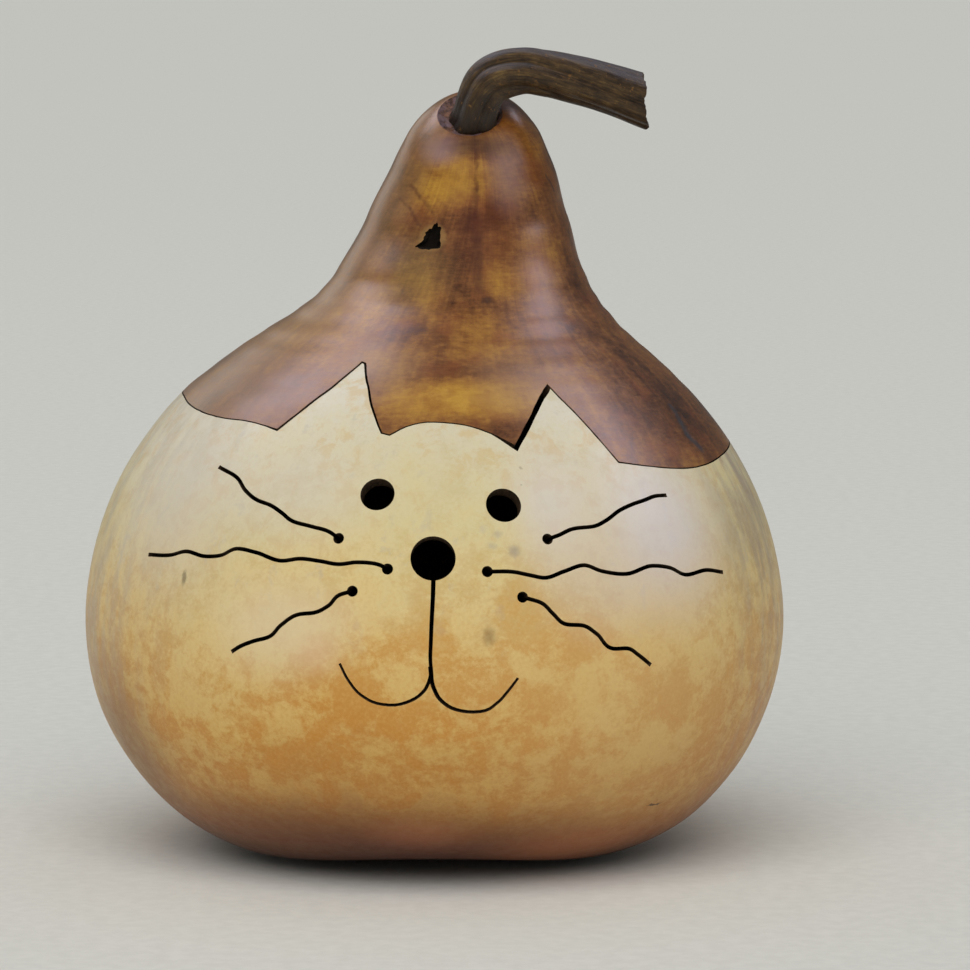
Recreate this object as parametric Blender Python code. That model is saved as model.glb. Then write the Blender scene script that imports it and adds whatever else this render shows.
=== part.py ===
"""A dried bottle gourd, hollowed out and sawn in two: a bowl with a cat's face drilled and sawn
through its wall, a stained lid that lifts off, and the curved stem that stands in the lid's scar.

Lengths are in millimetres until each mesh is done, and metres after that. The face looks along -Y,
and the gourd stands on three low lobes at Z = 0. Places on the gourd are given by azimuth, in degrees
from +X towards +Y, and by height."""

import math

import bmesh
import bpy
from mathutils import Matrix, Vector

METRE = 0.001

# Rings of the outside, from the dimple underneath to the crown: height, X of the centre, radius
RINGS = [
    (8.0, 0.0, 0.0),
    (6.5, 0.0, 12.0),
    (2.2, 0.0, 26.0),
    (0.2, 0.0, 42.0),
    (1.9, 0.1, 54.5),
    (5.4, 0.1, 76.3),
    (13.0, 0.4, 91.0),
    (28.6, 0.0, 106.8),
    (52.6, -0.6, 120.1),
    (80.8, -0.4, 125.3),
    (107.0, -0.4, 122.4),
    (132.3, -0.3, 113.6),
    (155.0, 0.1, 99.2),
    (167.0, 0.4, 88.4),
    (173.3, 1.3, 81.2),
    (180.5, 2.1, 72.3),
    (186.4, 3.3, 64.2),
    (193.8, 5.8, 55.1),
    (199.4, 7.5, 49.0),
    (207.0, 8.8, 44.4),
    (227.4, 11.4, 35.7),
    (245.6, 13.4, 28.5),
    (256.8, 13.9, 22.4),
    (262.8, 14.4, 15.8),
    (265.2, 15.4, 0.0),
]
WIDEST = 9

# The crown leans towards the face, more and more above this height
LEAN_FROM = 208.0
LEAN_TO = 265.0
LEAN = math.radians(38.0)
LEAN_EASE = 1.5

# The underside rises between its three lobes, which fade out towards the dimple and up the side,
# and each lobe is worn flat where it stands
LOBES = 3
LOBE_AT = 90.0
LOBE_LIFT = 2.5
LOBE_REACH = 45.0
LOBE_RADIUS = 40.0
WORN = 0.9

# Shell thickness, and how it grows towards the crown
WALL = 6.0
WALL_CROWN = 9.0
THICKER_FROM = 190.0

# How the surface is divided: the rows crowd together at the dimple and at the crown
OUTER_COLUMNS = 48
OUTER_ROWS = 46
INNER_COLUMNS = 36
INNER_ROWS = 30
CROWDING = 0.05

# Saw cut between bowl and lid, once round: azimuth, height, and the gap's width up to the next point
LID_CUT = [
    (-179.5, 164.7, 0.6),
    (-167.8, 164.1, 0.5),
    (-158.8, 162.6, 0.5),
    (-149.0, 161.1, 0.5),
    (-141.0, 160.3, 0.5),
    (-133.0, 160.1, 0.5),
    (-128.0, 159.3, 0.5),
    (-123.7, 158.0, 1.0),
    (-115.6, 172.6, 1.0),
    (-111.7, 180.2, 0.8),
    (-110.6, 179.9, 0.8),
    (-105.4, 170.0, 0.8),
    (-100.5, 158.3, 0.6),
    (-98.8, 157.7, 0.6),
    (-95.3, 160.6, 0.5),
    (-92.0, 161.8, 0.5),
    (-87.6, 161.7, 0.5),
    (-83.5, 160.9, 0.5),
    (-79.0, 158.6, 0.6),
    (-73.7, 153.4, 1.9),
    (-71.2, 158.3, 1.9),
    (-68.6, 163.1, 1.9),
    (-65.6, 167.9, 1.9),
    (-62.9, 171.5, 1.9),
    (-62.2, 172.4, 0.6),
    (-59.6, 166.9, 0.6),
    (-57.3, 161.0, 0.6),
    (-52.8, 147.2, 0.6),
    (-46.5, 145.3, 0.5),
    (-41.0, 143.9, 0.5),
    (-34.8, 143.0, 0.5),
    (-27.8, 143.2, 0.5),
    (-18.2, 144.8, 0.5),
    (-8.0, 146.2, 0.6),
    (5.0, 147.6, 0.6),
    (20.0, 150.6, 0.6),
    (40.0, 155.4, 0.6),
    (62.0, 158.9, 0.6),
    (85.0, 160.0, 0.6),
    (108.0, 160.7, 0.6),
    (130.0, 162.9, 0.6),
    (150.0, 166.3, 0.6),
    (164.0, 168.6, 0.6),
    (173.0, 168.3, 0.6),
]
CUT_STEP = 8.0

NEARLY_STRAIGHT = 0.98

# Cutters run this far past the surface, outwards and inwards, and the lid's cutter spreads to this
# radius at this height, clear of the gourd
CUT_OUT = 5.0
CUT_IN = 14.0
CUTTER_RADIUS = 150.0
CUTTER_TOP = 290.0

# Drilled eyes, nose and the dot at each whisker's root: azimuth, height, diameter
EYES = [(-99.6, 138.9, 11.7), (-77.5, 135.3, 12.1)]
NOSE = (-89.7, 118.4, 15.2)
DOT = 3.8
EYE_SIDES = 24
DOT_SIDES = 12

# Sawn whiskers, from the dot outwards: azimuth, height
WHISKER_SAW = 1.4
WHISKERS = {
    "left_upper": [
        (-105.5, 124.4),
        (-107.5, 126.6),
        (-110.5, 127.9),
        (-114.4, 129.5),
        (-116.6, 131.9),
        (-119.0, 134.0),
        (-122.2, 135.5),
        (-125.2, 138.2),
        (-128.0, 141.9),
        (-133.8, 145.0),
    ],
    "left_middle": [
        (-97.0, 114.8),
        (-98.3, 116.1),
        (-102.0, 116.8),
        (-105.1, 116.0),
        (-108.3, 116.8),
        (-111.7, 117.3),
        (-115.0, 116.3),
        (-120.0, 118.5),
        (-124.0, 119.2),
        (-126.9, 116.6),
        (-130.3, 115.8),
        (-134.7, 116.7),
        (-138.2, 114.9),
        (-144.5, 113.8),
    ],
    "left_lower": [
        (-102.5, 107.3),
        (-104.5, 106.0),
        (-106.3, 102.2),
        (-108.3, 99.9),
        (-111.2, 98.9),
        (-114.0, 95.1),
        (-116.1, 90.8),
        (-118.7, 89.1),
        (-121.1, 87.0),
        (-122.8, 84.8),
    ],
    "right_upper": [
        (-70.5, 123.9),
        (-68.6, 124.9),
        (-66.0, 126.7),
        (-61.1, 127.5),
        (-59.0, 129.0),
        (-55.8, 131.9),
        (-53.0, 133.4),
        (-49.8, 134.5),
        (-47.2, 135.4),
        (-44.2, 135.3),
    ],
    "right_middle": [
        (-81.0, 113.9),
        (-76.8, 113.6),
        (-74.0, 112.3),
        (-71.6, 111.3),
        (-68.3, 113.1),
        (-64.6, 114.8),
        (-61.7, 112.6),
        (-57.0, 111.0),
        (-51.8, 112.9),
        (-48.0, 111.7),
        (-44.8, 108.8),
        (-39.3, 109.3),
        (-34.8, 107.6),
    ],
    "right_lower": [
        (-75.5, 105.2),
        (-72.5, 103.1),
        (-70.7, 99.4),
        (-68.7, 95.7),
        (-65.6, 94.8),
        (-63.5, 91.9),
        (-60.6, 86.4),
        (-57.8, 86.0),
        (-56.0, 83.6),
        (-53.5, 79.6),
    ],
}

# Sawn mouth: one cut from the nose down and round to the left, and one that leaves it to the right
MOUTH_SAW = 1.6
MOUTH_SAW_END = 0.9
MOUTH_LEFT = [
    (-89.6, 114.0),
    (-89.7, 106.0),
    (-89.9, 97.6),
    (-90.1, 86.6),
    (-90.3, 77.6),
    (-91.1, 74.2),
    (-93.0, 71.0),
    (-95.6, 69.3),
    (-98.4, 69.8),
    (-100.8, 72.4),
    (-102.7, 77.0),
    (-104.2, 83.1),
]
MOUTH_RIGHT = [
    (-90.1, 82.6),
    (-89.6, 75.4),
    (-88.3, 70.7),
    (-86.4, 68.0),
    (-84.0, 66.9),
    (-81.6, 67.2),
    (-79.7, 69.8),
    (-78.0, 73.9),
    (-76.5, 78.2),
]

# Scar on the crown that the stem stands in: centre measured on the leaning crown from its own middle
SCAR_RADIUS = 12.0
SCAR_FLARE = 1.0
SCAR_FLOOR = 3.0
SCAR_CUTTER = 12.0
SCAR_OFFSET = -3.4
SCAR_SIDES = 24

# Stem: middle line from the foot to the cut end, and the radius there
GAP = 0.35
STEM_FORWARD = 2.6
STEM = [
    ((14.4, -17.9, 0.0), 7.6),
    ((14.9, -18.4, 264.9), 7.4),
    ((15.8, -18.8, 268.6), 7.5),
    ((19.1, -19.2, 275.0), 7.9),
    ((25.4, -19.4, 278.5), 8.0),
    ((31.4, -19.5, 279.6), 7.8),
    ((40.2, -19.5, 278.5), 7.8),
    ((51.3, -19.4, 275.9), 8.0),
    ((62.4, -19.2, 272.7), 8.3),
    ((74.0, -19.0, 268.5), 8.8),
]
STEM_POINTS = 20
STEM_STEP = 4.0
STEM_RIBS = 5
RIB_DEPTH = 0.09
RIB_TURN = math.radians(-50.0)
RIB_TWIST = math.radians(68.0)
RIB_EASE = 0.8
STEM_HOLLOW = 1.4
END_SLANT = 4.0
SLANT_LENGTH = 14.0
HOLLOW_SIZE = 0.6

BOWL_COLOUR = (0.72, 0.52, 0.24, 1.0)
LID_COLOUR = (0.27, 0.11, 0.03, 1.0)
STEM_COLOUR = (0.09, 0.06, 0.035, 1.0)
BOWL_ROUGHNESS = 0.45
LID_ROUGHNESS = 0.3
STEM_ROUGHNESS = 0.6


def smooth_line(points):
    """Knots along a line through points, and the slope at each knot."""
    knots = [0.0]
    for a, b in zip(points, points[1:]):
        knots.append(knots[-1] + (b - a).length)
    slopes = [(points[1] - points[0]) / knots[1]]
    for before, here, after, k0, k1, k2 in zip(points, points[1:], points[2:], knots, knots[1:], knots[2:]):
        back = (here - before) / (k1 - k0)
        ahead = (after - here) / (k2 - k1)
        slopes.append((back * (k2 - k1) + ahead * (k1 - k0)) / (k2 - k0))
    slopes.append((points[-1] - points[-2]) / (knots[-1] - knots[-2]))
    return points, knots, slopes


def on_line(line, along):
    """The point that lies a given length along a smooth line."""
    points, knots, slopes = line
    i = 0
    while i < len(knots) - 2 and along > knots[i + 1]:
        i += 1
    step = knots[i + 1] - knots[i]
    t = (along - knots[i]) / step
    start = points[i] * (2 * t**3 - 3 * t**2 + 1) + slopes[i] * (step * (t**3 - 2 * t**2 + t))
    end = points[i + 1] * (3 * t**2 - 2 * t**3) + slopes[i + 1] * (step * (t**3 - t**2))
    return start + end


def mirrored_rings():
    """The rings as (height, radius), carried past both poles so that the line is smooth there."""
    flat = [Vector((z, r)) for z, _, r in RINGS]
    before = Vector((flat[1][0], -flat[1][1]))
    after = Vector((flat[-2][0], -flat[-2][1]))
    return [before] + flat + [after]


OUTLINE = smooth_line(mirrored_rings())
START = OUTLINE[1][1]
LENGTH = OUTLINE[1][-2] - START
WIDEST_AT = OUTLINE[1][WIDEST + 1] - START
CENTRES = [ring[1] for ring in RINGS]


def clamp(value, low=0.0, high=1.0):
    return min(high, max(low, value))


def centre_x(along):
    """X of a ring's centre, read off between the rings."""
    knots = OUTLINE[1][1:-1]
    place = clamp(along, 0.0, LENGTH) + START
    i = 0
    while i < len(knots) - 2 and place > knots[i + 1]:
        i += 1
    t = (place - knots[i]) / (knots[i + 1] - knots[i])
    return CENTRES[i] + (CENTRES[i + 1] - CENTRES[i]) * t * t * (3 - 2 * t)


def surface(along, azimuth):
    """Point on the outside, by length up the outline from the dimple and by azimuth in radians."""
    height, radius = on_line(OUTLINE, clamp(along, 0.0, LENGTH) + START)
    radius = max(radius, 0.0)
    if along < WIDEST_AT:
        low = clamp(1 - height / LOBE_REACH)
        wave = 1 - math.cos(LOBES * (azimuth - math.radians(LOBE_AT)))
        height += LOBE_LIFT * wave * low**2 * clamp(radius / LOBE_RADIUS) ** 2 - WORN * low
    share = clamp((height - LEAN_FROM) / (LEAN_TO - LEAN_FROM))
    tilt = LEAN * share**LEAN_EASE
    forward = -tilt * share * (LEAN_TO - LEAN_FROM) / (LEAN_EASE + 1)
    side = radius * math.cos(azimuth)
    depth = radius * math.sin(azimuth)
    return Vector(
        (
            centre_x(along) + side,
            forward + depth * math.cos(tilt),
            height + depth * math.sin(tilt),
        )
    )


def outward(along, azimuth):
    """Outward normal there."""
    step = 0.5
    turn = 0.01
    along = clamp(along, step, LENGTH - step)
    up = surface(along + step, azimuth) - surface(along - step, azimuth)
    round_it = surface(along, azimuth + turn) - surface(along, azimuth - turn)
    return round_it.cross(up).normalized()


def length_up(height):
    """Length up the outline to a height on the side of the gourd."""
    low = WIDEST_AT * 0.5
    high = LENGTH
    for _ in range(40):
        middle = (low + high) / 2
        if on_line(OUTLINE, middle + START)[0] < height:
            low = middle
        else:
            high = middle
    return low


def place(azimuth, height):
    """Point and outward normal at an azimuth in degrees and a height."""
    along = length_up(height)
    angle = math.radians(azimuth)
    return surface(along, angle), outward(along, angle)


def wall_at(height):
    share = clamp((height - THICKER_FROM) / (LEAN_TO - THICKER_FROM))
    return WALL + (WALL_CROWN - WALL) * share


def new_material(name, colour, roughness):
    material = bpy.data.materials.new(name)
    material.use_nodes = True
    shader = material.node_tree.nodes["Principled BSDF"]
    shader.inputs["Base Color"].default_value = colour
    shader.inputs["Roughness"].default_value = roughness
    shader.inputs["Metallic"].default_value = 0.0
    material.diffuse_color = colour
    return material


def new_object(name, shape, material=None):
    """Turn a mesh in millimetres into an object in metres. One with no material is a cutter."""
    bmesh.ops.recalc_face_normals(shape, faces=shape.faces)
    shape.transform(Matrix.Scale(METRE, 4))
    mesh = bpy.data.meshes.new(name)
    shape.to_mesh(mesh)
    shape.free()
    obj = bpy.data.objects.new(name, mesh)
    bpy.context.scene.collection.objects.link(obj)
    if material:
        mesh.materials.append(material)
    else:
        obj.hide_render = True
        obj.display_type = "WIRE"
    return obj


def gourd_solid(columns, rows, inside=False):
    """The gourd's outside, or the surface one wall thickness inside it, as a closed mesh."""
    shape = bmesh.new()
    bmesh.ops.create_uvsphere(shape, u_segments=columns, v_segments=rows, radius=1.0)
    for vert in shape.verts:
        share = math.acos(clamp(-vert.co.z, -1.0, 1.0)) / math.pi
        along = LENGTH * (share - CROWDING * math.sin(2 * math.pi * share))
        azimuth = math.atan2(vert.co.y, vert.co.x)
        vert.co = surface(along, azimuth)
        if inside:
            vert.co -= outward(along, azimuth) * wall_at(vert.co.z)
    return shape


def skin(shape, rings, cap_start=True, cap_end=True):
    """Faces between rings of equally many points, and flat caps. It returns the rings' vertices."""
    loops = [[shape.verts.new(point) for point in ring] for ring in rings]
    count = len(loops[0])
    for low, high in zip(loops, loops[1:]):
        for i in range(count):
            j = (i + 1) % count
            shape.faces.new((low[i], low[j], high[j], high[i]))
    if cap_start:
        shape.faces.new(loops[0][::-1])
    if cap_end:
        shape.faces.new(loops[-1])
    return loops


def fan(shape, loop, centre):
    """Close a loop with triangles to one point."""
    hub = shape.verts.new(centre)
    for a, b in zip(loop, loop[1:] + loop[:1]):
        shape.faces.new((a, b, hub))


def cut_points():
    """The lid cut as azimuth, height and gap, with no step longer than CUT_STEP."""
    points = []
    for here, ahead in zip(LID_CUT, LID_CUT[1:] + LID_CUT[:1]):
        turn = (ahead[0] - here[0]) % 360.0
        length = (place(here[0], here[1])[0] - place(ahead[0], ahead[1])[0]).length
        pieces = max(1, math.ceil(length / CUT_STEP))
        for k in range(pieces):
            share = k / pieces
            points.append((here[0] + turn * share, here[1] + (ahead[1] - here[1]) * share, here[2]))
    return points


def cut_edge(side):
    """Points and normals along one edge of the lid cut: side 1 is the lid's edge, and -1 the bowl's."""
    marks = cut_points()
    spots = [place(azimuth, height) for azimuth, height, _ in marks]
    edge = []
    for i, (point, normal) in enumerate(spots):
        before = point - spots[i - 1][0]
        after = spots[(i + 1) % len(spots)][0] - point
        up_before = normal.cross(before).normalized()
        up_after = normal.cross(after).normalized()
        near = side * marks[i - 1][2] / 2
        far = side * marks[i][2] / 2
        cosine = up_before.dot(up_after)
        if cosine > NEARLY_STRAIGHT:
            shift = (up_before + up_after).normalized() * (near + far) / 2
        else:
            sine_squared = 1 - cosine**2
            shift = up_before * ((near - far * cosine) / sine_squared)
            shift += up_after * ((far - near * cosine) / sine_squared)
        edge.append((point + shift, normal))
    return edge


def above_cut(name, side):
    """Closed cutter that holds all that lies above one edge of the lid cut."""
    edge = cut_edge(side)
    shape = bmesh.new()
    inner = [point - normal * CUT_IN for point, normal in edge]
    outer = [point + normal * CUT_OUT for point, normal in edge]
    lift = Vector((0, 0, CUTTER_TOP))
    top = [Vector((point.x, point.y, 0)).normalized() * CUTTER_RADIUS + lift for point, _ in edge]
    loops = skin(shape, [inner, outer, top], cap_start=False, cap_end=False)
    middle = sum(point.z for point in inner) / len(inner)
    fan(shape, loops[0], (0, 0, middle))
    fan(shape, loops[-1], lift)
    return new_object(name, shape)


def slot(shape, marks, start, end):
    """A saw cut through the wall: a bar that follows marks, with its width going from start to end."""
    spots = [place(azimuth, height) for azimuth, height in marks]
    rings = []
    for i, (point, normal) in enumerate(spots):
        before = spots[max(i - 1, 0)][0]
        after = spots[min(i + 1, len(spots) - 1)][0]
        share = i / (len(spots) - 1)
        side = normal.cross(after - before).normalized() * (start + (end - start) * share) / 2
        rings.append(
            [
                point + side + normal * CUT_OUT,
                point - side + normal * CUT_OUT,
                point - side - normal * CUT_IN,
                point + side - normal * CUT_IN,
            ]
        )
    skin(shape, rings)


def hole(shape, azimuth, height, diameter, sides):
    """A drilled hole square to the surface."""
    point, normal = place(azimuth, height)
    middle = point + normal * (CUT_OUT - CUT_IN) / 2
    turn = normal.to_track_quat("Z", "Y").to_matrix().to_4x4()
    bmesh.ops.create_cone(
        shape,
        cap_ends=True,
        segments=sides,
        radius1=diameter / 2,
        radius2=diameter / 2,
        depth=CUT_OUT + CUT_IN,
        matrix=Matrix.Translation(middle) @ turn,
    )


def drill_holes():
    shape = bmesh.new()
    for azimuth, height, diameter in EYES + [NOSE]:
        hole(shape, azimuth, height, diameter, EYE_SIDES)
    for marks in WHISKERS.values():
        hole(shape, marks[0][0], marks[0][1], DOT, DOT_SIDES)
    return new_object("cutter_holes", shape)


def saw_whiskers():
    shape = bmesh.new()
    for marks in WHISKERS.values():
        slot(shape, marks, WHISKER_SAW, WHISKER_SAW)
    return new_object("cutter_whiskers", shape)


def saw_mouth(name, marks):
    shape = bmesh.new()
    slot(shape, marks, MOUTH_SAW, MOUTH_SAW_END)
    return new_object(name, shape)


def crown_frame():
    """Middle of the crown and the direction it faces."""
    along = Vector((0.0, -math.sin(LEAN), math.cos(LEAN)))
    return surface(LENGTH, 0.0), along


def scar_cutter():
    crown, axis = crown_frame()
    middle = crown + Vector((SCAR_OFFSET, 0, 0)) + axis * (SCAR_CUTTER / 2 - SCAR_FLOOR)
    turn = axis.to_track_quat("Z", "Y").to_matrix().to_4x4()
    shape = bmesh.new()
    bmesh.ops.create_cone(
        shape,
        cap_ends=True,
        segments=SCAR_SIDES,
        radius1=SCAR_RADIUS,
        radius2=SCAR_RADIUS + SCAR_FLARE,
        depth=SCAR_CUTTER,
        matrix=Matrix.Translation(middle) @ turn,
    )
    return new_object("cutter_scar", shape)


def stem_line():
    """The stem's middle line with its radius as a fourth number, foot first."""
    crown, axis = crown_frame()
    forward = Vector((0, -math.cos(LEAN), -math.sin(LEAN)))
    foot = crown - axis * (SCAR_FLOOR - GAP) + forward * STEM_FORWARD
    foot.x = STEM[0][0][0]
    points = [Vector((foot.x, foot.y, foot.z, STEM[0][1]))]
    points += [Vector((*point, radius)) for point, radius in STEM[1:]]
    return smooth_line(points)


def rib(angle):
    """Radius of the ribbed section against that of the plain stem, by angle from the first rib."""
    return 1 + RIB_DEPTH * (abs(math.cos(STEM_RIBS * angle / 2)) * 2 - 1)


def first_rib(share):
    """Where the first rib lies, by share of the stem's length: the ribs twist, mostly near the foot."""
    return RIB_TURN + RIB_TWIST * math.sin(share * math.pi / 2) ** RIB_EASE


def stem_solid():
    line = stem_line()
    length = line[1][-1]
    stations = max(2, round(length / STEM_STEP))
    _, axis = crown_frame()
    rings = []
    for k in range(stations + 1):
        along = length * k / stations
        here = on_line(line, along)
        ahead = on_line(line, min(along + 0.5, length))
        behind = on_line(line, max(along - 0.5, 0.0))
        heading = (ahead - behind).to_3d().normalized()
        if k == 0:
            heading = axis
        side = Vector((0, 1, 0)).cross(heading).normalized()
        up = heading.cross(side)
        turn = first_rib(along / length)
        slant = END_SLANT * clamp((along - length + SLANT_LENGTH) / SLANT_LENGTH) ** 2
        ring = []
        for i in range(STEM_POINTS):
            angle = 2 * math.pi * i / STEM_POINTS
            reach = here[3] * rib(angle)
            out = side * math.cos(angle + turn) + up * math.sin(angle + turn)
            ring.append(here.to_3d() + out * reach + heading * slant * math.cos(angle + turn))
        rings.append(ring)
    end = on_line(line, length).to_3d()
    heading = (end - on_line(line, length - 0.5).to_3d()).normalized()
    rings.append([end + (point - end) * HOLLOW_SIZE - heading * STEM_HOLLOW for point in rings[-1]])
    shape = bmesh.new()
    skin(shape, rings)
    return shape


def floor_cutter():
    """Block under Z = 0, which wears the lobes flat."""
    shape = bmesh.new()
    bmesh.ops.create_cube(shape, size=2 * CUTTER_RADIUS)
    bmesh.ops.translate(shape, verts=shape.verts, vec=(0, 0, -CUTTER_RADIUS))
    return new_object("cutter_floor", shape)


def boolean(obj, operation, cutter):
    step = obj.modifiers.new(cutter.name, "BOOLEAN")
    step.operation = operation
    step.solver = "EXACT"
    step.object = cutter


def main():
    for obj in list(bpy.data.objects):
        bpy.data.objects.remove(obj)
    bowl_skin = new_material("gourd_shell", BOWL_COLOUR, BOWL_ROUGHNESS)
    lid_skin = new_material("stained_shell", LID_COLOUR, LID_ROUGHNESS)
    stem_skin = new_material("dry_stem", STEM_COLOUR, STEM_ROUGHNESS)

    cavity = new_object("cutter_cavity", gourd_solid(INNER_COLUMNS, INNER_ROWS, inside=True))
    bowl = new_object("gourd_bowl", gourd_solid(OUTER_COLUMNS, OUTER_ROWS), bowl_skin)
    boolean(bowl, "DIFFERENCE", floor_cutter())
    boolean(bowl, "DIFFERENCE", cavity)
    boolean(bowl, "DIFFERENCE", above_cut("cutter_above_bowl", -1))
    boolean(bowl, "DIFFERENCE", drill_holes())
    boolean(bowl, "DIFFERENCE", saw_whiskers())
    boolean(bowl, "DIFFERENCE", saw_mouth("cutter_mouth_left", MOUTH_LEFT))
    boolean(bowl, "DIFFERENCE", saw_mouth("cutter_mouth_right", MOUTH_RIGHT))

    lid = new_object("gourd_lid", gourd_solid(OUTER_COLUMNS, OUTER_ROWS), lid_skin)
    boolean(lid, "DIFFERENCE", cavity)
    boolean(lid, "INTERSECT", above_cut("cutter_above_lid", 1))
    boolean(lid, "DIFFERENCE", scar_cutter())

    new_object("stem", stem_solid(), stem_skin)


main()
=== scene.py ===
"""Looks of the dried bottle gourd: its mottled bowl with the face sawn through it, the stained lid and
the stem. The form is part.py's own, divided more finely, and each piece stands for its plain solid.

Lengths are in millimetres until a mesh is done. The face looks along -Y. Places on the gourd are given
by azimuth, in degrees from +X towards +Y, and by height."""

import math

import bmesh
import bpy
from mathutils import Matrix, Vector, noise


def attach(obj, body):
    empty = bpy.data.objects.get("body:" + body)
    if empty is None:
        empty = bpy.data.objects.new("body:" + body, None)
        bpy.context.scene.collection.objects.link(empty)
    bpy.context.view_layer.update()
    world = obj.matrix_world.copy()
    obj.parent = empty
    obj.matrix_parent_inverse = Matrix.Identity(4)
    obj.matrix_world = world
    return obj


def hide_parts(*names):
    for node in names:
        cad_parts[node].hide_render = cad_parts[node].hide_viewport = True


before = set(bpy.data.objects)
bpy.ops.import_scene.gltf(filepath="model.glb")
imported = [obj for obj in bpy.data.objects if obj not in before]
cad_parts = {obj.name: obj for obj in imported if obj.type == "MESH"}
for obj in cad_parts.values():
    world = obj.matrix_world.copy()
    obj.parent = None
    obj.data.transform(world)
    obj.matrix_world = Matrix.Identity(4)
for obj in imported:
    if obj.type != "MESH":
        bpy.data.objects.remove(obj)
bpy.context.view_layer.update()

METRE = 0.001

# Rings of the outside, from the dimple underneath to the crown: height, X of the centre, radius
RINGS = [
    (8, 0, 0), (6.5, 0, 12), (2.2, 0, 26), (0.2, 0, 42), (1.9, 0.1, 54.5), (5.4, 0.1, 76.3),
    (13, 0.4, 91), (28.6, 0, 106.8), (52.6, -0.6, 120.1), (80.8, -0.4, 125.3), (107, -0.4, 122.4),
    (132.3, -0.3, 113.6), (155, 0.1, 99.2), (167, 0.4, 88.4), (173.3, 1.3, 81.2), (180.5, 2.1, 72.3),
    (186.4, 3.3, 64.2), (193.8, 5.8, 55.1), (199.4, 7.5, 49), (207, 8.8, 44.4), (227.4, 11.4, 35.7),
    (245.6, 13.4, 28.5), (256.8, 13.9, 22.4), (262.8, 14.4, 15.8), (265.2, 15.4, 0),
]
WIDEST = 9

# Between these heights the outline's bends are evened out: step of its points, and rounds of averaging
EVEN_FROM = 167.0
EVEN_TO = 254.0
EVEN_STEP = 1.0
EVEN_ROUNDS = 50
# The length up to a height is found by this many halvings
HALVINGS = 40

# The crown leans towards the face, more and more above this height
LEAN_FROM = 208.0
LEAN_TO = 265.0
LEAN = math.radians(38.0)
LEAN_EASE = 1.5

# The underside rises between its three lobes, and each lobe is worn flat where it stands
LOBES = 3
LOBE_AT = 90.0
LOBE_LIFT = 2.5
LOBE_REACH = 45.0
LOBE_RADIUS = 40.0
WORN = 0.9

# Shell thickness, and how it grows towards the crown
WALL = 6.0
WALL_CROWN = 9.0
THICKER_FROM = 190.0

# How the surface is divided. The bowl's rows stop crowding above its rim, and the lid's below its edge
COLUMNS = 192
ROWS = 140
INNER_COLUMNS = 96
INNER_ROWS = 60
CROWDING = 0.05
COARSE_ROWS = 0.08
BOWL_TOP = 186.0
LID_BOTTOM = 138.0

# Saw cut between bowl and lid, once round: azimuth, height, and the gap's width up to the next point
LID_CUT = [
    (-179.5, 164.7, 0.6), (-167.8, 164.1, 0.5), (-158.8, 162.6, 0.5), (-149, 161.1, 0.5),
    (-141, 160.3, 0.5), (-133, 160.1, 0.5), (-128, 159.3, 0.5), (-123.7, 158, 1), (-115.6, 172.6, 1),
    (-111.7, 180.2, 0.8), (-110.6, 179.9, 0.8), (-105.4, 170, 0.8), (-100.5, 158.3, 0.6),
    (-98.8, 157.7, 0.6), (-95.3, 160.6, 0.5), (-92, 161.8, 0.5), (-87.6, 161.7, 0.5),
    (-83.5, 160.9, 0.5), (-79, 158.6, 0.6), (-73.7, 153.4, 1.9), (-71.2, 158.3, 1.9),
    (-68.6, 163.1, 1.9), (-65.6, 167.9, 1.9), (-62.9, 171.5, 1.9), (-62.2, 172.4, 0.6),
    (-59.6, 166.9, 0.6), (-57.3, 161, 0.6), (-52.8, 147.2, 0.6), (-46.5, 145.3, 0.5), (-41, 143.9, 0.5),
    (-34.8, 143, 0.5), (-27.8, 143.2, 0.5), (-18.2, 144.8, 0.5), (-8, 146.2, 0.6), (5, 147.6, 0.6),
    (20, 150.6, 0.6), (40, 155.4, 0.6), (62, 158.9, 0.6), (85, 160, 0.6), (108, 160.7, 0.6),
    (130, 162.9, 0.6), (150, 166.3, 0.6), (164, 168.6, 0.6), (173, 168.3, 0.6),
]
# The saw turned sharply at these azimuths of the cut, and ran in smooth bends between them
CORNERS = [-123.7, -111.7, -110.6, -100.5, -98.8, -73.7, -62.2, -52.8]
CUT_STEP = 1.2
CUT_WOBBLE = 0.12
GAP_WOBBLE = 0.25
# The lid's edge is nicked between these azimuths
NICKED = (-62.0, -14.0)
NICK = 1.6
NICK_FROM = 0.22
# Noise along the cut: how fast it changes with azimuth, and where it is read
TREMBLE = (0.9, 3.0)
SWELL = (0.5, 9.0)
NICKS = (1.1, 21.0)
# An azimuth's degrees count this much in the length of the cut
DEGREE = math.cos(math.radians(45))
NEARLY_STRAIGHT = 0.98

# Cutters run this far past the surface, outwards and inwards, and the lid's cutter spreads to this
# radius at this height, clear of the gourd
CUT_OUT = 5.0
CUT_IN = 14.0
CUTTER_RADIUS = 150.0
CUTTER_TOP = 290.0

# Saw cuts through the bowl go in steps of this length, made so much denser, and in no fewer than this
SAW_STEP = 1.5
SAW_DENSER = 1.6
SAW_FEWEST = 8

# Drilled eyes, nose and the dot at each whisker's root: azimuth, height, diameter
EYES = [(-99.6, 138.9, 11.7), (-77.5, 135.3, 12.1)]
NOSE = (-89.7, 118.4, 15.2)
DOT = 3.8
EYE_SIDES = 64
DOT_SIDES = 24

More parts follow.
